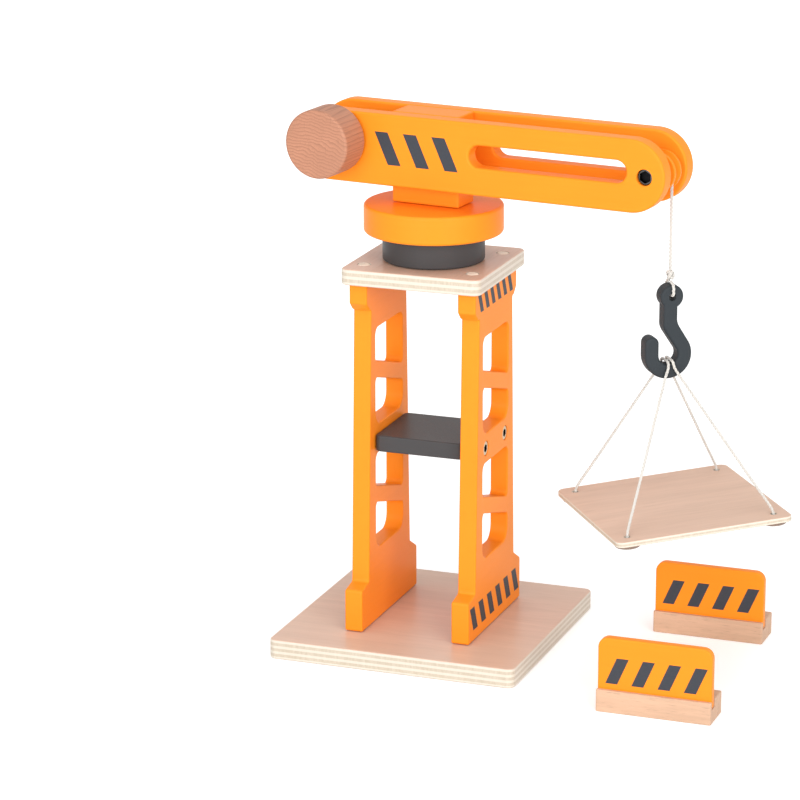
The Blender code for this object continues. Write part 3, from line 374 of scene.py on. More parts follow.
def cut(target, shape, at):
    """Takes a shape out of the target and leaves the plain mesh."""
    cutter = make_object(target.name + "_cutter", shape, target.data.materials[0], at)
    modifier = target.modifiers.new("cut", "BOOLEAN")
    modifier.operation = "DIFFERENCE"
    modifier.solver = "EXACT"
    modifier.object = cutter
    bpy.context.view_layer.update()
    graph = bpy.context.evaluated_depsgraph_get()
    mesh = bpy.data.meshes.new_from_object(target.evaluated_get(graph), depsgraph=graph)
    target.modifiers.clear()
    target.data = mesh
    bpy.data.objects.remove(cutter, do_unlink=True)


def add_piece(name, node, body, finish_name, shape, place=(0, 0, 0), facing="up", holes=()):
    """A finished piece with its holes, which stands for its solid and moves with its body."""
    piece = make_object(name, shape, finish(finish_name), at_place(body, place, facing))
    for cutter, at in holes:
        cut(piece, cutter, at)
    piece.data.shade_smooth()
    piece.data.set_sharp_from_angle(angle=SHARP_ANGLE)
    even = piece.modifiers.new("even shading", "WEIGHTED_NORMAL")
    even.keep_sharp = True
    even.weight = 100
    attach(piece, body)
    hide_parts(node)
    return piece


def add_bolt(name, node, body, finish_name, shape, socket, place, facing):
    """A bolt whose head has a hexagon socket, blackened on its walls and floor."""
    holes = [hole([socket], body, place, facing, 6)]
    made = add_piece(name, node, body, finish_name, shape, place, facing, holes)
    made.data.materials.append(finish("blackened socket"))
    # Faces inside the socket take the near-black painted shade
    for face in made.data.polygons:
        x, y, z = face.center / MM
        if math.hypot(x, y) < socket[0] and socket_skin < z < socket[1] + socket_skin:
            face.material_index = len(made.data.materials) - 1


# Cord

def smooth_route(knots, spacing):
    """Points along a smooth curve through the knots, no further apart than the spacing."""
    knots = [Vector(knot) for knot in knots]
    padded = [2 * knots[0] - knots[1]] + knots + [2 * knots[-1] - knots[-2]]
    found = [knots[0]]
    for before, start, end, after in zip(padded, padded[1:], padded[2:], padded[3:]):
        span = (end - start).length
        leave = (end - before).normalized() * span
        arrive = (after - start).normalized() * span
        count = max(1, math.ceil(span / spacing))
        for step in range(1, count + 1):
            t = step / count
            found.append(start * (2 * t**3 - 3 * t**2 + 1) + leave * (t**3 - 2 * t**2 + t)
                         + end * (3 * t**2 - 2 * t**3) + arrive * (t**3 - t**2))
    return found


def evenly(points, spacing):
    """The same line with its points evenly spaced along it."""
    points = [Vector(point) for point in points]
    reach = [0]
    for a, b in zip(points, points[1:]):
        reach.append(reach[-1] + (b - a).length)
    count = max(2, round(reach[-1] / spacing))
    found, index = [], 0
    for step in range(count + 1):
        want = reach[-1] * step / count
        while index < len(points) - 2 and reach[index + 1] < want:
            index += 1
        span = reach[index + 1] - reach[index]
        found.append(points[index].lerp(points[index + 1], (want - reach[index]) / span))
    return found


def twisted(points, diameter, start_at=0, side=None):
    """Strands laid round each other along a line, how far they run and the side where they leave off."""
    diameter *= cord_fullness
    lay = cord_lay * diameter
    points = evenly(points, lay / rings_a_lay)
    shape = bmesh.new()
    section = circle(strand_radius * diameter, steps=strand_sides)[::-1]
    if side is None:
        side = (points[1] - points[0]).normalized().orthogonal()
    rings = [[] for strand in range(strands)]
    travelled = start_at
    for index, point in enumerate(points):
        ahead = points[min(index + 1, len(points) - 1)] - points[max(index - 1, 0)]
        along = ahead.normalized()
        side = (side - along * side.dot(along)).normalized()
        across = along.cross(side)
        if index:
            travelled += (point - points[index - 1]).length
        for strand in range(strands):
            turn = 2 * math.pi * (strand / strands + travelled / lay)
            out = side * math.cos(turn) + across * math.sin(turn)
            middle = point + out * strand_offset * diameter
            lean = along.cross(out)
            rings[strand].append([shape.verts.new(middle + out * x + lean * y) for x, y in section])
    for strand in rings:
        for low, high in zip(strand, strand[1:]):
            close_ring(shape, low, high)
        shape.faces.new(list(reversed(strand[0])))
        shape.faces.new(strand[-1])
    return shape, travelled, side


def add_cord(name, node, body, points, diameter, place=(0, 0, 0), after=(), bend=None):
    """A cord piece on its body, or bent where its far end moves with another body.

    It returns how far its strands run and the side where they leave off, for the piece after it.
    """
    shape, travelled, side = twisted(points, diameter, *after)
    piece = make_object(name, shape, finish("white cotton"), at_place(body, place))
    piece.data.shade_smooth()
    if bend:
        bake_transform(piece)
    else:
        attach(piece, body)
    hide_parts(node)
    return travelled, side


# Finishes

class Nodes:
    """Adds shader nodes to a material or a world, and feeds them values or other nodes' outputs."""

    def __init__(self, owner):
        owner.use_nodes = True
        self.tree = owner.node_tree

    def feed(self, socket, value):
        if isinstance(value, bpy.types.NodeSocket):
            self.tree.links.new(value, socket)
        else:
            socket.default_value = (*value, 1) if socket.type == "RGBA" else value

    def node(self, kind, inputs, **settings):
        """A node and its settings. Its inputs are named or numbered, and its outputs are returned."""
        made = self.tree.nodes.new(kind)
        for key, value in settings.items():
            setattr(made, key, value)
        for key, value in inputs.items():
            self.feed(made.inputs[key], value)
        return made.outputs

    def sum(self, operation, *terms):
        return self.node("ShaderNodeMath", dict(enumerate(terms)), operation=operation)[0]

    def seen(self):
        """1 where the camera, a reflection or a view through glass sees it, and 0 for everything else."""
        path = self.node("ShaderNodeLightPath", {})
        straight = self.sum("MAXIMUM", path["Is Camera Ray"], path["Is Glossy Ray"])
        return self.sum("MAXIMUM", straight, path["Is Transmission Ray"])


class Finish(Nodes):
    """One material and the patterns, layers and bumps of its surface."""

    def __init__(self, name):
        self.material = bpy.data.materials.new(name)
        super().__init__(self.material)
        self.shader = self.tree.nodes["Principled BSDF"]
        self.where = self.node("ShaderNodeTexCoord", {})

    def stretched(self, scale, shift=(0, 0, 0)):
        """The piece's own coordinates in metres, stretched along its axes and then shifted."""
        inputs = {"Vector": self.where["Object"], "Scale": scale, "Location": shift}
        return self.node("ShaderNodeMapping", inputs)[0]

    def noise(self, stretch, scale=1, detail=3, roughness=0.55, distortion=0, shift=(0, 0, 0)):
        """Noise over stretched coordinates. One number stretches all three axes alike."""
        where = self.stretched((stretch,) * 3 if isinstance(stretch, int) else stretch, shift)
        return self.node("ShaderNodeTexNoise", {"Vector": where, "Scale": scale, "Detail": detail,
                                                "Roughness": roughness, "Distortion": distortion})[0]

    def length(self, vector):
        return self.node("ShaderNodeVectorMath", {0: vector}, operation="LENGTH")["Value"]

    def upward(self, output):
        """How far the piece's own place or normal goes up its Z axis."""
        return self.node("ShaderNodeSeparateXYZ", {0: self.where[output]})[2]

    def ranged(self, value, low, high, to_low, to_high):
        """Takes a value from one range to another and keeps it there."""
        return self.node("ShaderNodeMapRange", {0: value, 1: low, 2: high, 3: to_low, 4: to_high})[0]

    def mix(self, share, first, second):
        return self.node("ShaderNodeMix", {0: share, 6: first, 7: second}, data_type="RGBA")[2]

    def over(self, tone, colour, pattern, low, high, share=1):
        """The tone with a colour laid over it, up to its share, as the pattern goes from low to high."""
        return self.mix(self.ranged(pattern, low, high, 0, share), tone, colour)

    def surface(self, colour, roughness, gloss, others=()):
        inputs = {"Base Color": colour, "Roughness": roughness, "Specular IOR Level": gloss, **dict(others)}
        for key, value in inputs.items():
            self.feed(self.shader.inputs[key], value)

    def bump(self, distance, strength, *layers):
        """A bump from layers of (pattern, weight). Its distance is in millimetres."""
        height = 0
        for pattern, weight in layers:
            height = self.sum("MULTIPLY_ADD", pattern, weight, height)
        inputs = {"Height": height, "Distance": distance * MM, "Strength": strength}
        self.feed(self.shader.inputs["Normal"], self.node("ShaderNodeBump", inputs)[0])


wood_gloss, lacquer_gloss, ink_gloss, felt_gloss, steel_gloss = 0.35, 0.12, 0.2, 0.1, 0.5


def shade(colour, *shares):
    """The colour made darker or lighter, by one share or by a share for each of its parts."""
    return tuple(min(1, part * share) for part, share in zip(colour, shares * 3))


def painted(name, colour, roughness):
    """Satin lacquer on sanded wood: even, with a trace of grain under it and a fine spray texture."""
    made = Finish(name)
    cloud = made.noise(30, detail=2)
    grain = made.noise((6, 120, 120), 4, 4, 0.6, 0.3, (0.3, 0.1, 0.2))
    spray = made.noise(1, 1700, 2, 0.5)
    tone = made.over(colour, shade(colour, 0.93), cloud, 0.3, 0.7, 0.5)
    tone = made.over(tone, shade(colour, 0.86), grain, 0.45, 0.75, 0.25)
    made.surface(tone, made.ranged(spray, 0.3, 0.7, roughness - 0.04, roughness + 0.05), lacquer_gloss)
    made.bump(0.06, 0.7, (grain, 0.5), (spray, 0.35))


def wood_tone(made, along, line_scale, light, dark, fleck, fleck_share):
    """Grain lines of one board. The scales in along stretch the wood along its own grain."""
    sway = made.noise(Vector(along) * 0.35, 1, 2, 0.5, shift=(0.7, 0.2, 0.4))
    lines = made.noise(along, line_scale, 5, 0.62, 0.6)
    fine = made.noise(Vector(along) * 6, line_scale, 3, 0.7, shift=(0.1, 0.5, 0.9))
    tone = made.over(light, dark, lines, 0.35, 0.68)
    tone = made.over(tone, shade(dark, 0.97), sway, 0.35, 0.65, 0.45)
    return made.over(tone, fleck, fine, 0.58, 0.8, fleck_share), lines, fine


def plywood(name, colour, thickness, plies, roughness, along=(5, 60, 60)):
    """Birch plywood: a plain face with soft wandering grain, and bands of crossed layers on the edges."""
    made = Finish(name)
    light = shade(colour, 1.06, 1.07, 1.08)
    face, lines, fine = wood_tone(made, along, 2.2, light, shade(colour, 0.93), shade(colour, 0.72), 0.4)
    band = made.sum("MULTIPLY", made.upward("Object"), plies / (thickness * MM))
    band = made.sum("ADD", band, made.ranged(made.noise(40, detail=2), 0, 1, -0.09, 0.09))
    fibre = made.noise((900, 900, 260), 1, 3, 0.7)
    long_layer = made.over((0.67, 0.61, 0.52), (0.62, 0.55, 0.45), fibre, 0.3, 0.7, 0.5)
    cross_layer = made.over((0.58, 0.5, 0.4), (0.5, 0.42, 0.32), fibre, 0.35, 0.65)
    crossed = made.sum("GREATER_THAN", made.sum("MODULO", band, 2), 1)
    edge = made.mix(crossed, long_layer, cross_layer)
    edge = made.over(edge, (0.36, 0.27, 0.18), made.sum("PINGPONG", band, 0.5), 0.06, 0, 0.35)
    tone = made.over(edge, face, made.sum("ABSOLUTE", made.upward("Normal")), 0.55, 0.8)
    made.surface(tone, made.ranged(fine, 0.3, 0.7, roughness - 0.06, roughness + 0.08), wood_gloss)
    made.bump(0.09, 0.7, (lines, 0.5), (fibre, 0.25))


def beech(name, colour, along):
    """Fine-sanded beech with its short dark flecks along the grain."""
    made = Finish(name)
    light, dark, fleck = shade(colour, 1.08), shade(colour, 0.88), shade(colour, 0.6)
    tone, lines, fine = wood_tone(made, along, 3, light, dark, fleck, 0.5)
    flecks = made.noise(Vector(along) * 14, 1.6, 2, 0.5, shift=(0.3, 0.6, 0.2))
    tone = made.over(tone, shade(colour, 0.55), flecks, 0.62, 0.72, 0.55)
    made.surface(tone, made.ranged(fine, 0.3, 0.7, 0.5, 0.64), wood_gloss)
    made.bump(0.08, 0.7, (lines, 0.5), (flecks, 0.3))


def turned_beech(name, colour, pith, ring_width):
    """Beech turned along its grain: yearly rings round the pith on the ends and lines along the sides."""
    made = Finish(name)
    year = ring_width * MM
    away = made.length(made.stretched((1, 1, 0), (-pith[0] * MM, -pith[1] * MM, 0)))
    for stretch, detail, sway in (((55, 55, 4), 3, 1.1), ((190, 190, 12), 2, 0.4)):
        wander = made.noise(stretch, 1, detail, 0.5)
        away = made.sum("ADD", away, made.ranged(wander, 0.2, 0.8, -sway * year, sway * year))
    late = made.sum("POWER", made.sum("FRACT", made.sum("DIVIDE", away, year)), 3)
    cloud = made.noise((70, 70, 10), detail=2)
    pores = made.noise((2600, 2600, 60), 1, 2, 0.6)
    rays = made.noise((1500, 170, 90), 1, 2, 0.5)
    tone = made.mix(late, shade(colour, 1.1), shade(colour, 0.7))
    tone = made.over(tone, shade(colour, 0.86), cloud, 0.35, 0.65, 0.4)
    tone = made.over(tone, shade(colour, 0.5), pores, 0.56, 0.72, 0.5)
    tone = made.over(tone, shade(colour, 0.62), rays, 0.62, 0.75, 0.35)
    made.surface(tone, made.ranged(pores, 0.3, 0.7, 0.48, 0.64), wood_gloss)
    made.bump(0.08, 0.8, (late, -0.5), (pores, -0.3))


def turned_steel(name, colour, roughness):
    """Plated or blackened steel, with the fine marks of turning and a few duller patches."""
    made = Finish(name)
    marks = made.noise((500, 500, 5000), 1, 3, 0.6)
    tone = made.over(colour, shade(colour, 0.78), made.noise(300, detail=2), 0.35, 0.7, 0.6)
    rough = made.ranged(marks, 0.25, 0.75, roughness - 0.08, roughness + 0.12)
    made.surface(tone, rough, steel_gloss, {"Metallic": 1})
    made.bump(0.03, 0.6, (marks, 1))


def cotton(name, colour):
    """Spun cotton strands with fine fibres lying along the twist, and a little soiled."""
    made = Finish(name)
    fibres = made.noise((3200, 3200, 1400), 1, 3, 0.65)
    tone = made.over(colour, shade(colour, 0.86), fibres, 0.35, 0.7, 0.5)
    tone = made.over(tone, (0.78, 0.73, 0.64), made.noise(90, detail=2), 0.5, 0.8, 0.25)
    made.surface(tone, 0.9, ink_gloss, {"Sheen Weight": 0.35, "Sheen Roughness": 0.6})
    made.bump(0.08, 0.8, (fibres, 1))


def felt(name, colour):
    """Pressed felt: short matted fibres of mixed shade."""
    made = Finish(name)
    mat = made.noise(1600, 1, 4, 0.75, 1.4)
    tone = made.over(shade(colour, 0.7), shade(colour, 1.5), mat, 0.35, 0.7)
    made.surface(tone, 0.95, felt_gloss, {"Sheen Weight": 0.5, "Sheen Roughness": 0.7})
    made.bump(0.2, 0.9, (mat, 1), (made.noise(420, 1, 3, 0.6), 1))


def printed(name, colour):
    """Screen-printed dark ink, a little duller than the lacquer under it."""
    made = Finish(name)
    cover = made.noise(1, 900, 3, 0.6)
    tone = made.over(colour, shade(colour, 1.35), cover, 0.4, 0.75, 0.4)
    made.surface(tone, made.ranged(cover, 0.3, 0.7, 0.46, 0.6), ink_gloss)
    made.bump(0.02, 0.6, (cover, 1))


# Each finish: its slot in the record, kind, colour (by its name in the sidebar, or plain) and the rest
FINISHES = {
    "orange lacquer": ("orange_paint", painted, "orange", 0.4),
    "grey lacquer": ("grey_paint", painted, "grey", 0.4),
    "hook lacquer": ("grey_paint", painted, "hook_grey", 0.5),
    "dark print": ("grey_paint", printed, "print_ink"),
    "base plywood": ("birch_plywood", plywood, "birch", base_thickness, 7, 0.34),
    "top plywood": ("birch_plywood", plywood, "birch", top_thickness, 5, 0.34, (60, 5, 60)),
    "tray plywood": ("birch_plywood", plywood, "birch", tray_thickness, 3, 0.56),
    "barrier beech": ("beech", beech, "beech", (7, 90, 90)),
    "knob beech": ("beech", turned_beech, "beech_end", (-16, -85), 1.7),
    "dowel beech": ("beech", turned_beech, (0.84, 0.66, 0.47), (7, -14), 2.6),
    # Paler copy of the dowel beech: its extra lightness is painted light on the dowel ends in the top plate
    "pale dowel": ("beech", turned_beech, (0.93, 0.83, 0.69), (7, -14), 2.6),
    "zinc steel": ("zinc_steel", turned_steel, "steel", 0.28),
    "yellow zinc": ("zinc_steel", turned_steel, "bolts", 0.3),
    # Zinc colour darkened to a sixth: painted shade of the recess round the tip bolt heads
    "dark steel": ("zinc_steel", turned_steel, (0.0832, 0.0816, 0.0784), 0.3),
    # Near-black colour painted as the shade inside the bolt sockets
    "blackened socket": ("zinc_steel", turned_steel, (0.012, 0.012, 0.013), 0.55),
    "white cotton": ("white_cord", cotton, "cord"),
    "grey felt": ("grey_felt", felt, (0.16, 0.16, 0.165)),
    "brown felt": ("brown_pad", felt, (0.2, 0.13, 0.09)),
}

# Hidden nodes that keep their solids, by how their names start
HIDDEN = {"base_screw": "zinc steel", "neck_screw": "zinc steel", "pivot": "zinc steel",
          "boom_dowel": "dowel beech"}


def finish(name):
    """The material of a finish, which is made when it is first asked for."""
    if name not in bpy.data.materials:
        make, colour, *rest = FINISHES[name][1:]
        if isinstance(colour, str):
            colour = getattr(bpy.context.scene.crane_colours, colour)
        make(name, tuple(colour), *rest)
    return bpy.data.materials[name]


# Tower

def four_places(x, y):
    """The places of four like pieces by their names, on both sides and at both ends of the tower."""
    return {f"{side}_{end}": (SIDES[side] * x, ENDS[end] * y) for side in SIDES for end in ENDS}


def make_base():
    """Make the plywood base."""
    holes = [countersunk(base_screw, base_thickness, "tower", (x, y, 0))
             for x, y in four_places(frame_middle, base_screw_half_spacing).values()]
    outline = rounded_rectangle(base_side, base_side, base_corner)
    shape = board(outline, base_thickness, chosen_size("edge_rounding"))
    add_piece("base_board", "base_plate", "tower", "base plywood", shape, holes=holes)


def side_frame_outline():
    """The frame seen from its side: a wide foot with two ledges, the slim posts and the shouldered head."""
    under_head = frame_height - head_height - head_shoulder
    over_shoulder = frame_height - head_height
    inner_head = head_half_depth - head_shoulder
    back = [(foot_half_depth, 0, frame_corner), (foot_half_depth, foot_height, ledge_corner),
            (post_foot_half_depth, foot_height + ledge_rise_back, ledge_corner)]
    head = [(post_head_half_depth, under_head, frame_corner), (inner_head, under_head, frame_corner),
            (head_half_depth, over_shoulder, frame_corner), (head_half_depth, frame_height, frame_corner)]
    front = [(-post_foot_half_depth, foot_height + ledge_rise_front, ledge_corner),
             (-foot_half_depth, foot_height, ledge_corner), (-foot_half_depth, 0, frame_corner)]
    return rounded(back + head + [(-x, y, radius) for x, y, radius in reversed(head)] + front, 6)


def window_pair(bottom):
    """The two windows of one tall opening, which a slanting brace divides."""
    w = window_half_width
    top = bottom + window_height
    brace_middle = (bottom + top) / 2 - brace_drop
    lean = brace_slope * w
    over = brace_middle + brace_thickness / 2
    under = brace_middle - brace_thickness / 2
    upper = [(-w, over + lean, brace_corner_radius), (-w, top, window_top_radius),
             (w, top, window_top_radius), (w, over - lean, brace_corner_radius)]
    lower = [(-w, bottom, window_bottom_radius), (-w, under + lean, brace_corner_radius),
             (w, under - lean, brace_corner_radius), (w, bottom, window_bottom_radius)]
    return [rounded(upper), rounded(lower)]


def make_side_frames():
    """Make the two painted frames of the tower."""
    windows = window_pair(window_bottoms[0]) + window_pair(window_bottoms[1])
    bolt_hole = [(bolt_head_radius + seat_gap, bolt_head_length + 2 * seat_gap),
                 (bolt_radius + seat_gap, bolt_head_length + 2 * seat_gap),
                 (bolt_radius + seat_gap, frame_thickness + overshoot)]
    dowel_hole = [(dowel_radius + seat_gap, dowel_length - top_thickness)]
    for name, side in SIDES.items():
        holes = []
        for end in ENDS.values():
            mouth = (side * frame_face, end * bolt_half_spacing, bolt_level)
            holes.append(hole(bolt_hole, "tower", mouth, "left" if side > 0 else "right"))
            mouth = (side * frame_middle, end * dowel_half_spacing, frame_bottom + frame_height)
            holes.append(hole(dowel_hole, "tower", mouth, "down"))
        shape = board(side_frame_outline(), frame_thickness, chosen_size("edge_rounding"), windows)
        left_face = side * frame_middle - frame_thickness / 2
        add_piece(f"{name}_frame_painted", f"{name}_side_frame", "tower", "orange lacquer", shape,
                  (left_face, 0, frame_bottom), "right", holes)


def make_shelf():
    """Make the grey shelf and its bolts."""
    outline = rounded_rectangle(shelf_width, shelf_depth, shelf_corner)
    shape = board(outline, shelf_thickness, chosen_size("edge_rounding"))
    add_piece("shelf_painted", "shelf", "tower", "grey lacquer", shape, (0, 0, shelf_bottom))
    for name, (x, y) in four_places(frame_face - seat_gap, bolt_half_spacing).items():
        shape = bolt(bolt_radius, bolt_length, bolt_head_radius, bolt_head_length)
        add_bolt(f"bolt_{name}", f"shelf_bolt_{name}", "tower", "yellow zinc", shape,
                 (socket_radius, socket_depth), (x, y, bolt_level), "left" if x > 0 else "right")


def make_top():
    """Make the top plate, its dowels and the swivel disc."""
    places = four_places(frame_middle, dowel_half_spacing)
    holes = [circle(dowel_radius + seat_gap, place) for place in places.values()] + [circle(pivot_bore)]
    outline = rounded_rectangle(top_side, top_side, top_corner)
    shape = board(outline, top_thickness, chosen_size("edge_rounding"), plain_holes=holes)
    add_piece("top_board", "top_plate", "tower", "top plywood", shape, (0, 0, top_bottom))
    for name, (x, y) in places.items():
        shape = rod(dowel_radius, dowel_length, dowel_rounding, 40)
        # The dowel ends take the paler copy of the dowel beech, whose extra lightness is painted light
        add_piece(f"dowel_{name}", f"plate_dowel_{name}", "tower", "pale dowel", shape,
                  (x, y, top_bottom + top_thickness - dowel_length))
    shape = rod(disc_radius, disc_thickness, disc_rounding, 96, pivot_bore)
    add_piece("swivel_disc", "bearing_disc", "tower", "grey lacquer", shape, (0, 0, disc_bottom))


def make_screws():
    """Give the screws and hidden dowels their finish."""
    for name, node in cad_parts.items():
        for start, finish_name in HIDDEN.items():
            if name.startswith(start):
                node.data.materials.clear()
                node.data.materials.append(finish(finish_name))


# Boom

def make_turntable():
    """Make the turntable and the neck block."""
    nut_floor = turntable_thickness - nut_bore_depth
    side = round_side(turntable_radius, turntable_thickness, turntable_rounding, 6)
    nut_seat = [(nut_bore, turntable_thickness), (nut_bore, nut_floor), (pivot_bore, nut_floor)]
    shape = turned([(pivot_bore, 0)] + side + nut_seat, 96)
    holes = [countersunk(neck_screw, turntable_thickness, "boom", (x, 0, turntable_bottom))
             for x in (-neck_screw_offset, neck_screw_offset)]
    add_piece("turntable_painted", "turntable", "boom", "orange lacquer", shape,
              (0, 0, turntable_bottom), holes=holes)
    outline = rounded_rectangle(block_length, 2 * block_half_width, block_corner, 4)
    mouth = (block_offset - block_length / 2, 0, cord_height_at(block_offset))
    bore = hole([(block_bore_radius, block_length + 2 * overshoot)], "boom", mouth, "right")
    shape = board(outline, block_height, block_rounding)
    add_piece("neck_painted", "neck_block", "boom", "orange lacquer", shape,
              (block_offset, 0, block_bottom), holes=[bore])


def make_boom_plates():
    """Make the two slotted boom plates."""
    outline = round_ended(-boom_rear_reach, boom_front_reach, boom_half_height, 0, 40)
    s = slot_half_height
    slot = round_ended(slot_start + s, slot_end - s, s, slot_rise, 24)[::-1]
    holes = [circle(axle_radius + seat_gap, (-winch_reach, winch_rise)),
             circle(tip_sleeve_radius + seat_gap, (tip_reach, 0))]
    recess = [(tip_head_radius + seat_gap, tip_recess + tip_head_length + seat_gap)]
    for name, outer, back, facing in (("near", -boom_half_width, -boom_half_gap, "back"),
                                      ("far", boom_half_width, boom_half_width, "front")):
        shape = board(outline, plate_thickness, chosen_size("boom_rounding"), [slot], holes)
        sunk = hole(recess, "boom", (tip_reach, outer, boom_middle), facing)
        add_piece(f"{name}_boom_painted", f"{name}_boom_plate", "boom", "orange lacquer", shape,
                  (0, back, boom_middle), "front", [sunk])


def make_tip_bolt():
    """Make the sleeve bolt at the tip of the boom."""
    head_y = boom_half_width - tip_recess
    sleeve_length = 2 * head_y - tip_head_length - seat_gap
    for name, node, radius, length, y, facing in (
            ("near", "sleeve", tip_sleeve_radius, sleeve_length, -head_y, "back"),
            ("far", "screw", tip_screw_radius, tip_head_length + tip_screw_bite, head_y, "front")):
        # The tip bolts take steel darkened to paint the shade of their recess in the plate
        add_bolt(f"tip_bolt_{name}", f"tip_bolt_{node}", "boom", "dark steel",
                 bolt(radius, length, tip_head_radius, tip_head_length),
                 (tip_socket_radius, tip_socket_depth), (tip_reach, y, boom_middle), facing)


def make_pulley():
    """Make the grooved pulley."""
    lip = pulley_radius - pulley_lip
    rim = [(pulley_radius - x, pulley_rim_outer - y) for x, y in rounded_edge]
    upper = arc((lip, 0), lip - pulley_groove_radius, 180, pulley_groove_end, 6)
    upper += [(pulley_radius, pulley_rim_inner + pulley_lip), *rim, (pulley_hub_radius, pulley_rim_outer),
              (pulley_hub_radius, pulley_half_length - pulley_hub_edge),
              (pulley_hub_radius - pulley_hub_edge, pulley_half_length), (pulley_bore, pulley_half_length)]
    shape = turned([(radius, -height) for radius, height in reversed(upper[1:])] + upper, 72)
    add_piece("pulley_turned", "tip_pulley", "pulley", "orange lacquer", shape, facing="front")


# Winch

def make_winch():
    """Make the knob, axle, cap, felt ring and wound cord."""
    felt_back = boom_half_width + seat_gap
    knob_back = felt_back + felt_thickness + seat_gap
    shape = turned([(0, knob_bore_depth), (knob_bore, knob_bore_depth), (knob_bore, 0)]
                   + round_side(knob_radius, knob_length, knob_rounding, 6) + [(0, knob_length)], 96)
    add_piece("knob_turned", "winch_knob", "winch", "knob beech", shape, (0, -knob_back, 0), "front")
    shape = rod(felt_radius, felt_thickness, felt_rounding, 56, knob_bore)
    add_piece("felt_ring", "felt_washer", "winch", "grey felt", shape, (0, -felt_back, 0), "front")
    shape = rod(axle_radius, axle_near_end + axle_far_end, axle_rounding, 40)
    add_piece("axle_rod", "winch_axle", "winch", "zinc steel", shape, (0, axle_far_end, 0), "front")
    rim = [(cap_radius - x, y) for x, y in reversed(rounded_edge)]
    dome = arc((cap_radius - cap_dome, cap_length - cap_dome), cap_dome, 0, 90, 10)
    shape = turned([(0, cap_bore_depth), (knob_bore, cap_bore_depth), (knob_bore, 0)] + rim + dome
                   + [(0, cap_length)], 56)
    add_piece("axle_cap_turned", "axle_cap", "winch", "dowel beech", shape, (0, felt_back, 0), "back")
    count = winding_turns * steps_a_turn
    turns = [winding_turns * (1 - step / count) for step in range(count + 1)]
    points = [on_drum(turn + lead_turns, winding_pitch * (turn + 1)) for turn in turns]
    add_cord("cord_on_axle", "wound_cord", "winch", points, cord_diameter)


def on_drum(turn, y):
    """A place on the cord round the axle, so many turns before the top."""
    angle = -2 * math.pi * turn
    return (drum_radius * math.sin(angle), y, drum_radius * math.cos(angle))


def cord_height_at(x):
    """How high the cord runs along the boom, from the axle to the pulley."""
    start = boom_middle + winch_rise + drum_radius
    end = boom_middle + pulley_cord_radius
    return start + (end - start) * (x + winch_reach) / (tip_reach + winch_reach)


# Hoist line

def make_hoist_line():
    """Make the cord from its last turn, through the block, over the pulley and down to its knot."""
    lead = [on_drum(lead_turns * (1 - step / lead_steps), 0) for step in range(lead_steps)]
    run = [(x - winch_reach, y, z + boom_middle + winch_rise) for x, y, z in lead]
    run += [(x, 0, cord_height_at(x)) for x in (-winch_reach, tip_reach)]
    run += [(x, 0, z) for x, z in arc((tip_reach, boom_middle), pulley_cord_radius, 84, 0, 24)]
    x, top = tip_reach + pulley_cord_radius, boom_middle - cord_drop_start
    after = add_cord("cord_along_boom", "cord_run", "boom", run + [(x, 0, top)], cord_diameter)
    bottom = boom_middle - hook_drop + loop_height + knot_height - cord_end_cover
    start, end = (FRAMES["boom"] @ Vector((x * MM, 0, z * MM))
                  for z in (top - cord_bend_start, bottom + cord_end_cover))
    add_cord("cord_hanging", "hoist_cord", "boom", [(x, 0, top), (x, 0, bottom)], cord_diameter,
             after=after, bend=("hoist_line", start, end))
    add_cord("cord_knot_tied", "cord_knot", "hoist_line", tied_knot(), cord_diameter,
             (0, 0, loop_height + knot_height / 2))


def tied_knot():
    """The line of an overhand knot pulled tight: three crossings of the cord round itself."""
    reach, rise = knot_radius - cord_diameter / 2, (knot_height - cord_diameter) / 2
    points = []
    for step in range(knot_steps + 1):
        t = 2 * math.pi * step / knot_steps
        out = reach * (2 + math.cos(3 * t)) / 3
        points.append((out * math.cos(2 * t), out * math.sin(2 * t), rise * math.sin(3 * t)))
    return points


# Hook

def hook_outline():
    """The eye, the bent shank and the bowl with its round tip."""
    cx, cz = bowl_centre
    tip_radius = (bowl_outer - bowl_inner) / 2
    right, left = (-math.degrees(math.acos(x / eye_radius)) for x in (shank_right, shank_left))
    right_side = [(shank_right + x, z - shank_right_length) for x, z in shank_bend]
    outline = arc((0, 0), eye_radius, right, left + 360, 48)
    outline += [(shank_left + x, z - shank_left_length) for x, z in shank_bend]
    outline += arc((cx, cz), bowl_inner, bowl_inner_start, -180, 36)
    outline += arc((cx - bowl_inner - tip_radius, cz + hook_tip_lift), tip_radius, 0, 180, 18)
    outline += arc((cx, cz), bowl_outer, -180, bowl_outer_end, 54)
    return outline + right_side[::-1]


def make_hook():
    """Make the hook and the loop through its eye."""
    half_thickness = hook_thickness / 2
    eye = circle(eye_hole_radius)
    shape = board(hook_outline(), hook_thickness, hook_rounding, plain_holes=[eye], steps=6)
    add_piece("hook_painted", "hook", "hook", "hook lacquer", shape, (0, half_thickness, 0), "front")
    hole_bend = cord_diameter / 2 + seat_gap
    rim_bend = hook_rounding + hole_bend
    rim = (half_thickness - hook_rounding, eye_radius - hook_rounding)
    half = [(loop_top_reach, loop_height - loop_top_drop),
            (loop_side_reach, rim[1] + rim_bend + loop_side_rise)]
    half += arc(rim, rim_bend, 75, 0, 4)
    half += arc((half_thickness, eye_hole_radius), hole_bend, 0, -90, 4)
    half.append((half_thickness - loop_in_eye, eye_hole_radius - hole_bend))
    points = [(0, y, z) for y, z in half] + [(0, -y, z) for y, z in reversed(half)]
    add_cord("cord_through_eye", "hook_loop", "hook", smooth_route(points, loop_spacing), cord_diameter)


# Tray

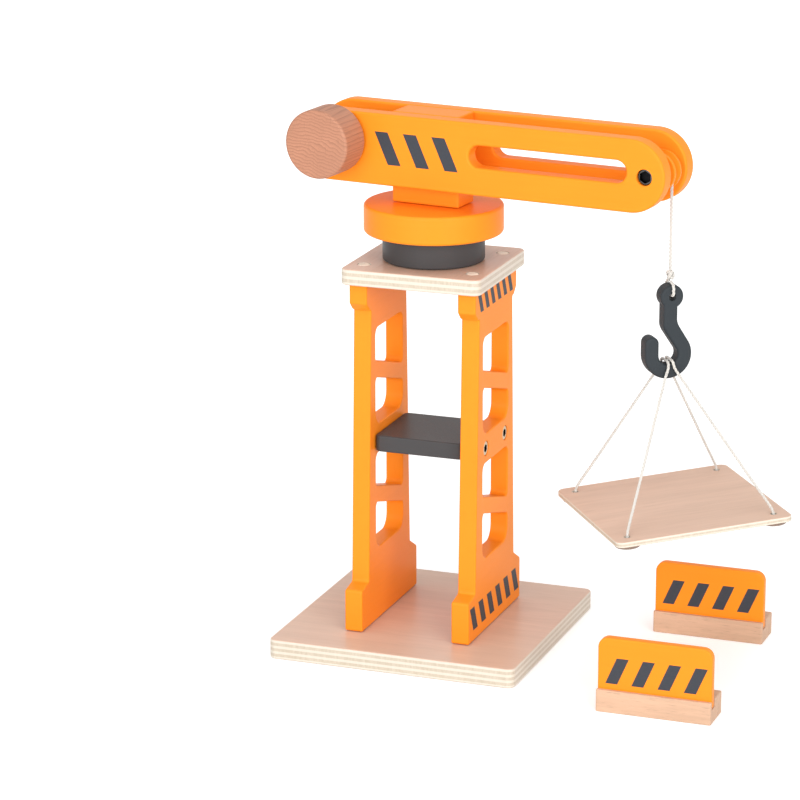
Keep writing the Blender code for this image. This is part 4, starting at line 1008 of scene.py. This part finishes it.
def make_tray():
    """Make the load board, its felt pads and the knots under it."""
    reach, bottom = tray_hole_reach, -sling_drop - tray_thickness
    places = {"front_left": (-reach, -reach), "front_right": (reach, -reach),
              "rear_right": (reach, reach), "rear_left": (-reach, reach)}
    holes = [circle(tray_hole_radius, place, 32) for place in places.values()]
    outline = rounded_rectangle(tray_side, tray_side, tray_corner, 10)
    shape = board(outline, tray_thickness, tray_rounding, plain_holes=holes)
    add_piece("tray_ply", "tray_board", "tray", "tray plywood", shape, (0, 0, bottom))
    coil = arc((0, 0), sling_coil_radius, 0, 360 * sling_coil_turns, sling_coil_steps)
    for name, (x, y) in places.items():
        pad_bottom = bottom - seat_gap - pad_thickness
        shape = rod(pad_radius, pad_thickness, pad_rounding, 48, sling_knot_radius + seat_gap)
        add_piece(f"pad_{name}", f"tray_pad_{name}", "tray", "brown felt", shape, (x, y, pad_bottom))
        add_cord(f"sling_end_{name}", f"sling_knot_{name}", "tray", [(*point, 0) for point in coil],
                 sling_diameter, (x, y, pad_bottom + pad_thickness / 2))


def make_slings():
    """Make the two cords that carry the tray."""
    half, top = tray_hole_reach, -sling_drop
    radius = sling_diameter / 2
    beside = hook_thickness / 2 + radius + sling_side_gap
    for name, side in SIDES.items():
        over = side * sling_offset
        slope = bowl_inner - math.sqrt(bowl_inner**2 - (over + sling_shift) ** 2)
        lift = slope + radius + sling_lift + sling_swing_room
        strand = [(side * half, half, top - tray_thickness), (side * half, half, top - sling_hole_depth),
                  (side * (half - sling_leave_shift), half - sling_leave_shift, top + sling_leave_rise),
                  (side * (half - sling_lean_shift[0]), half - sling_lean_shift[1], top + sling_lean_rise)]
        strand += [(over + side * x, beside + y, z) for x, y, z in sling_bends]
        strand += [(over + side * x, beside + y, lift + z) for x, y, z in sling_crown]
        route = smooth_route(strand + [(x, -y, z) for x, y, z in reversed(strand)], sling_spacing)
        add_cord(f"sling_{name}", f"sling_cord_{name}", "tray", route, sling_diameter)


# Road barriers

def make_barriers():
    """Make the two road barriers."""
    groove_y = (barrier_panel_thickness - barrier_depth) / 2 + barrier_set_back
    groove_floor = barrier_block_height - barrier_groove_depth
    height = barrier_height - groove_floor - seat_gap
    half = barrier_length / 2 - seat_gap
    outline = rounded_rectangle(barrier_length, barrier_depth, block_foot_corner, 5)
    panel = rounded([(-half, 0, panel_foot_corner), (half, 0, panel_foot_corner),
                     (half, height, barrier_corner), (-half, height, barrier_corner)], 10)
    x, y = barrier_length / 2 + 2 * overshoot, barrier_panel_thickness / 2 + seat_gap
    for name in barrier_places:
        body = f"{name}_barrier"
        groove = board([(-x, -y), (x, -y), (x, y), (-x, y)], barrier_groove_depth + 2 * overshoot, 0)
        add_piece(f"{body}_foot", f"{body}_block", body, "barrier beech",
                  board(outline, barrier_block_height, block_foot_rounding),
                  holes=[(groove, at_place(body, (0, groove_y, groove_floor)))])
        add_piece(f"{body}_panel_painted", f"{body}_panel", body, "orange lacquer",
                  board(panel, barrier_panel_thickness, panel_rounding),
                  (0, groove_y + barrier_panel_thickness / 2, groove_floor + seat_gap), "front")


# Printed stripes

def print_bars(name, row, body, place, facing, across=1):
    """One row of slanting bars, each with its face just proud of the lacquer."""
    first, pitch, width, top, bottom, shift, count = row
    for index in range(count):
        left = first + pitch * index
        corners = [(left, top), (left + shift, bottom), (left + shift + width, bottom), (left + width, top)]
        shape = board([(across * x, y) for x, y in corners], print_height + print_sink, 0)
        bar = make_object(f"{name}_{index + 1}", shape, finish("dark print"), at_place(body, place, facing))
        bar.data.shade_flat()
        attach(bar, body)


def make_stripes():
    """Print the slanting bars."""
    boom_face = boom_half_width - print_sink
    print_bars("boom_bar_near", boom_bars, "boom", (0, -boom_face, boom_middle), "front")
    print_bars("boom_bar_far", boom_bars, "boom", (0, boom_face, boom_middle), "back", -1)
    for name, side in reversed(SIDES.items()):
        for part, row in (("foot", foot_bars), ("head", head_bars)):
            place = (side * (frame_face - print_sink), 0, 0)
            print_bars(f"{name}_{part}_bar", row, "tower", place, name, side)
    for name, row in barrier_bars.items():
        place = (0, barrier_set_back - barrier_depth / 2 + print_sink, 0)
        print_bars(f"{name}_barrier_bar", row, f"{name}_barrier", place, "front")


# Stage

def make_stage():
    """Make the floor, the lights and the camera."""
    scene = bpy.context.scene
    chosen = scene.crane_stage
    scene.view_settings.view_transform = "Standard"
    scene.world = bpy.data.worlds.new("studio")
    room = Nodes(scene.world)
    lit = room.tree.nodes["Background"]
    room.feed(lit.inputs["Color"], WHITE)
    room.feed(lit.inputs["Strength"], chosen.room_light)
    backdrop = room.node("ShaderNodeBackground", {"Color": WHITE})[0]
    mixed = room.node("ShaderNodeMixShader", {0: room.seen(), 1: lit.outputs[0], 2: backdrop})[0]
    room.feed(room.tree.nodes["World Output"].inputs["Surface"], mixed)

    pale = Finish("pale floor")
    away = pale.length(pale.where["Object"])
    lift = pale.ranged(away, lift_near, lift_far, chosen.floor_lift, far_floor_lift)
    glow = pale.sum("MULTIPLY", pale.seen(), lift)
    pale.surface(floor_colour, floor_roughness, floor_gloss,
                 {"Emission Color": WHITE, "Emission Strength": glow})
    shape = bmesh.new()
    bmesh.ops.create_grid(shape, x_segments=1, y_segments=1, size=chosen.floor_size / MM / 2)
    make_object("studio_floor", shape, pale.material, at_place("tower", (0, 0, floor_level)))

    for name, (place, width) in lamps.items():
        lamp = bpy.data.lights.new(f"{name}_light", "AREA")
        lamp.energy = getattr(chosen, f"{name}_power")
        lamp.shape = "DISK"
        lamp.size = width
        towards = (Vector(lamp_aim) - Vector(place)).to_track_quat("-Z", "Y")
        hang(lamp, Matrix.Translation(place) @ towards.to_matrix().to_4x4())

    camera = bpy.data.cameras.new("camera")
    camera.lens = chosen.lens
    camera.sensor_width = sensor_width
    camera.clip_end = view_depth
    turn = Euler([math.radians(angle) for angle in camera_turn])
    scene.camera = hang(camera, Matrix.Translation(camera_place) @ turn.to_matrix().to_4x4())


def hang(data, at):
    """Puts a lamp or the camera into the scene."""
    obj = bpy.data.objects.new(data.name, data)
    bpy.context.scene.collection.objects.link(obj)
    obj.matrix_world = at
    return obj


# Settings

def colour_setting(name, description, default):
    return bpy.props.FloatVectorProperty(name=name, description=description, subtype="COLOR", size=3,
                                         min=0, max=1, default=default)


def number_setting(name, description, default, low, high, **kind):
    return bpy.props.FloatProperty(name=name, description=description, default=default, min=low, max=high,
                                   **kind)


class CraneColours(bpy.types.PropertyGroup):
    """Colours of the finishes."""
    orange: colour_setting("Orange lacquer", "Colour of the frames, boom and panels", (0.95, 0.27, 0.016))
    grey: colour_setting("Grey lacquer", "Colour of the shelf and the swivel disc", (0.064, 0.061, 0.062))
    hook_grey: colour_setting("Hook lacquer", "Colour of the hook", (0.034, 0.04, 0.045))
    birch: colour_setting("Birch plywood", "Colour of the base, top plate and tray", (0.65, 0.45, 0.34))
    beech: colour_setting("Beech", "Colour of the barrier feet", (0.61, 0.39, 0.26))
    beech_end: colour_setting("Beech end grain", "Colour of the knob", (0.44, 0.2, 0.12))
    steel: colour_setting("Zinc", "Colour of the axle and the screws", (0.52, 0.51, 0.49))
    bolts: colour_setting("Yellow zinc", "Colour of the shelf bolts", (0.6, 0.47, 0.3))
    cord: colour_setting("Cord", "Colour of the cotton cord", (0.66, 0.63, 0.585))
    print_ink: colour_setting("Print", "Colour of the slanting bars", (0.041, 0.045, 0.055))


class CraneSizes(bpy.types.PropertyGroup):
    """Sizes of the finish."""
    edge_rounding: number_setting("Edge rounding", "Radius of the sanded edges of the boards",
                                  0.8 * MM, 0.2 * MM, 1.1 * MM, unit="LENGTH")
    boom_rounding: number_setting("Boom edge rounding", "Radius of the edges of the boom plates",
                                  1.2 * MM, 0.2 * MM, 2 * MM, unit="LENGTH")


class CraneStage(bpy.types.PropertyGroup):
    """Light and camera."""
    room_light: number_setting("Room light", "Strength of the light from all sides", 0.68, 0, 2)
    floor_lift: number_setting("Floor lift", "How much the floor is lifted to white", 0.32, 0, 1)
    floor_size: number_setting("Floor", "Side of the floor", 14, 2, 40, unit="LENGTH")
    key_power: number_setting("Key light", "Power of the lamp at the front left", 22, 0, 400,
                              subtype="POWER")
    fill_power: number_setting("Fill light", "Power of the lamp at the right", 27, 0, 400,
                               subtype="POWER")
    top_power: number_setting("Top light", "Power of the lamp overhead", 13, 0, 400, subtype="POWER")
    lens: number_setting("Lens", "Focal length in millimetres on a 36 mm sensor", 160.423, 20, 400,
                         subtype="DISTANCE_CAMERA")


# Operators

def operator(make):
    """An operator named after the function that makes one piece or one group of like pieces."""
    def execute(self, context):
        make()
        return {"FINISHED"}
    name = make.__name__.removeprefix("make_")
    return type(f"TOYCRANE_OT_{name}", (bpy.types.Operator,), {
        "bl_idname": f"toycrane.{name}", "bl_label": name.replace("_", " ").capitalize(),
        "__doc__": make.__doc__.rstrip("."), "bl_options": {"REGISTER", "UNDO"}, "execute": execute})


OPERATORS = [operator(make) for make in (
    make_stage, make_base, make_side_frames, make_shelf, make_top, make_screws, make_turntable,
    make_boom_plates, make_tip_bolt, make_pulley, make_winch, make_hoist_line, make_hook, make_tray,
    make_slings, make_barriers, make_stripes)]


class TOYCRANE_PT_panel(bpy.types.Panel):
    """Lists the crane's pieces, sizes and colours."""
    bl_label = "Toy crane"
    bl_idname = "TOYCRANE_PT_panel"
    bl_space_type = "VIEW_3D"
    bl_region_type = "UI"
    bl_category = "Toy crane"

    def draw(self, context):
        for made in OPERATORS:
            self.layout.operator(made.bl_idname)
        for setting in SETTINGS:
            column = self.layout.column()
            group = getattr(context.scene, setting)
            for key in group.bl_rna.properties.keys():
                if key not in ("rna_type", "name"):
                    column.prop(group, key)


SETTINGS = {"crane_colours": CraneColours, "crane_sizes": CraneSizes, "crane_stage": CraneStage}
CLASSES = [*SETTINGS.values(), *OPERATORS, TOYCRANE_PT_panel]


def register():
    for made in CLASSES:
        bpy.utils.register_class(made)
    for name, group in SETTINGS.items():
        setattr(bpy.types.Scene, name, bpy.props.PointerProperty(type=group))


def unregister():
    for name in SETTINGS:
        delattr(bpy.types.Scene, name)
    for made in reversed(CLASSES):
        bpy.utils.unregister_class(made)


def main():
    register()
    for made in OPERATORS:
        getattr(bpy.ops.toycrane, made.bl_idname.split(".")[1])()


if __name__ == "__main__":
    main()
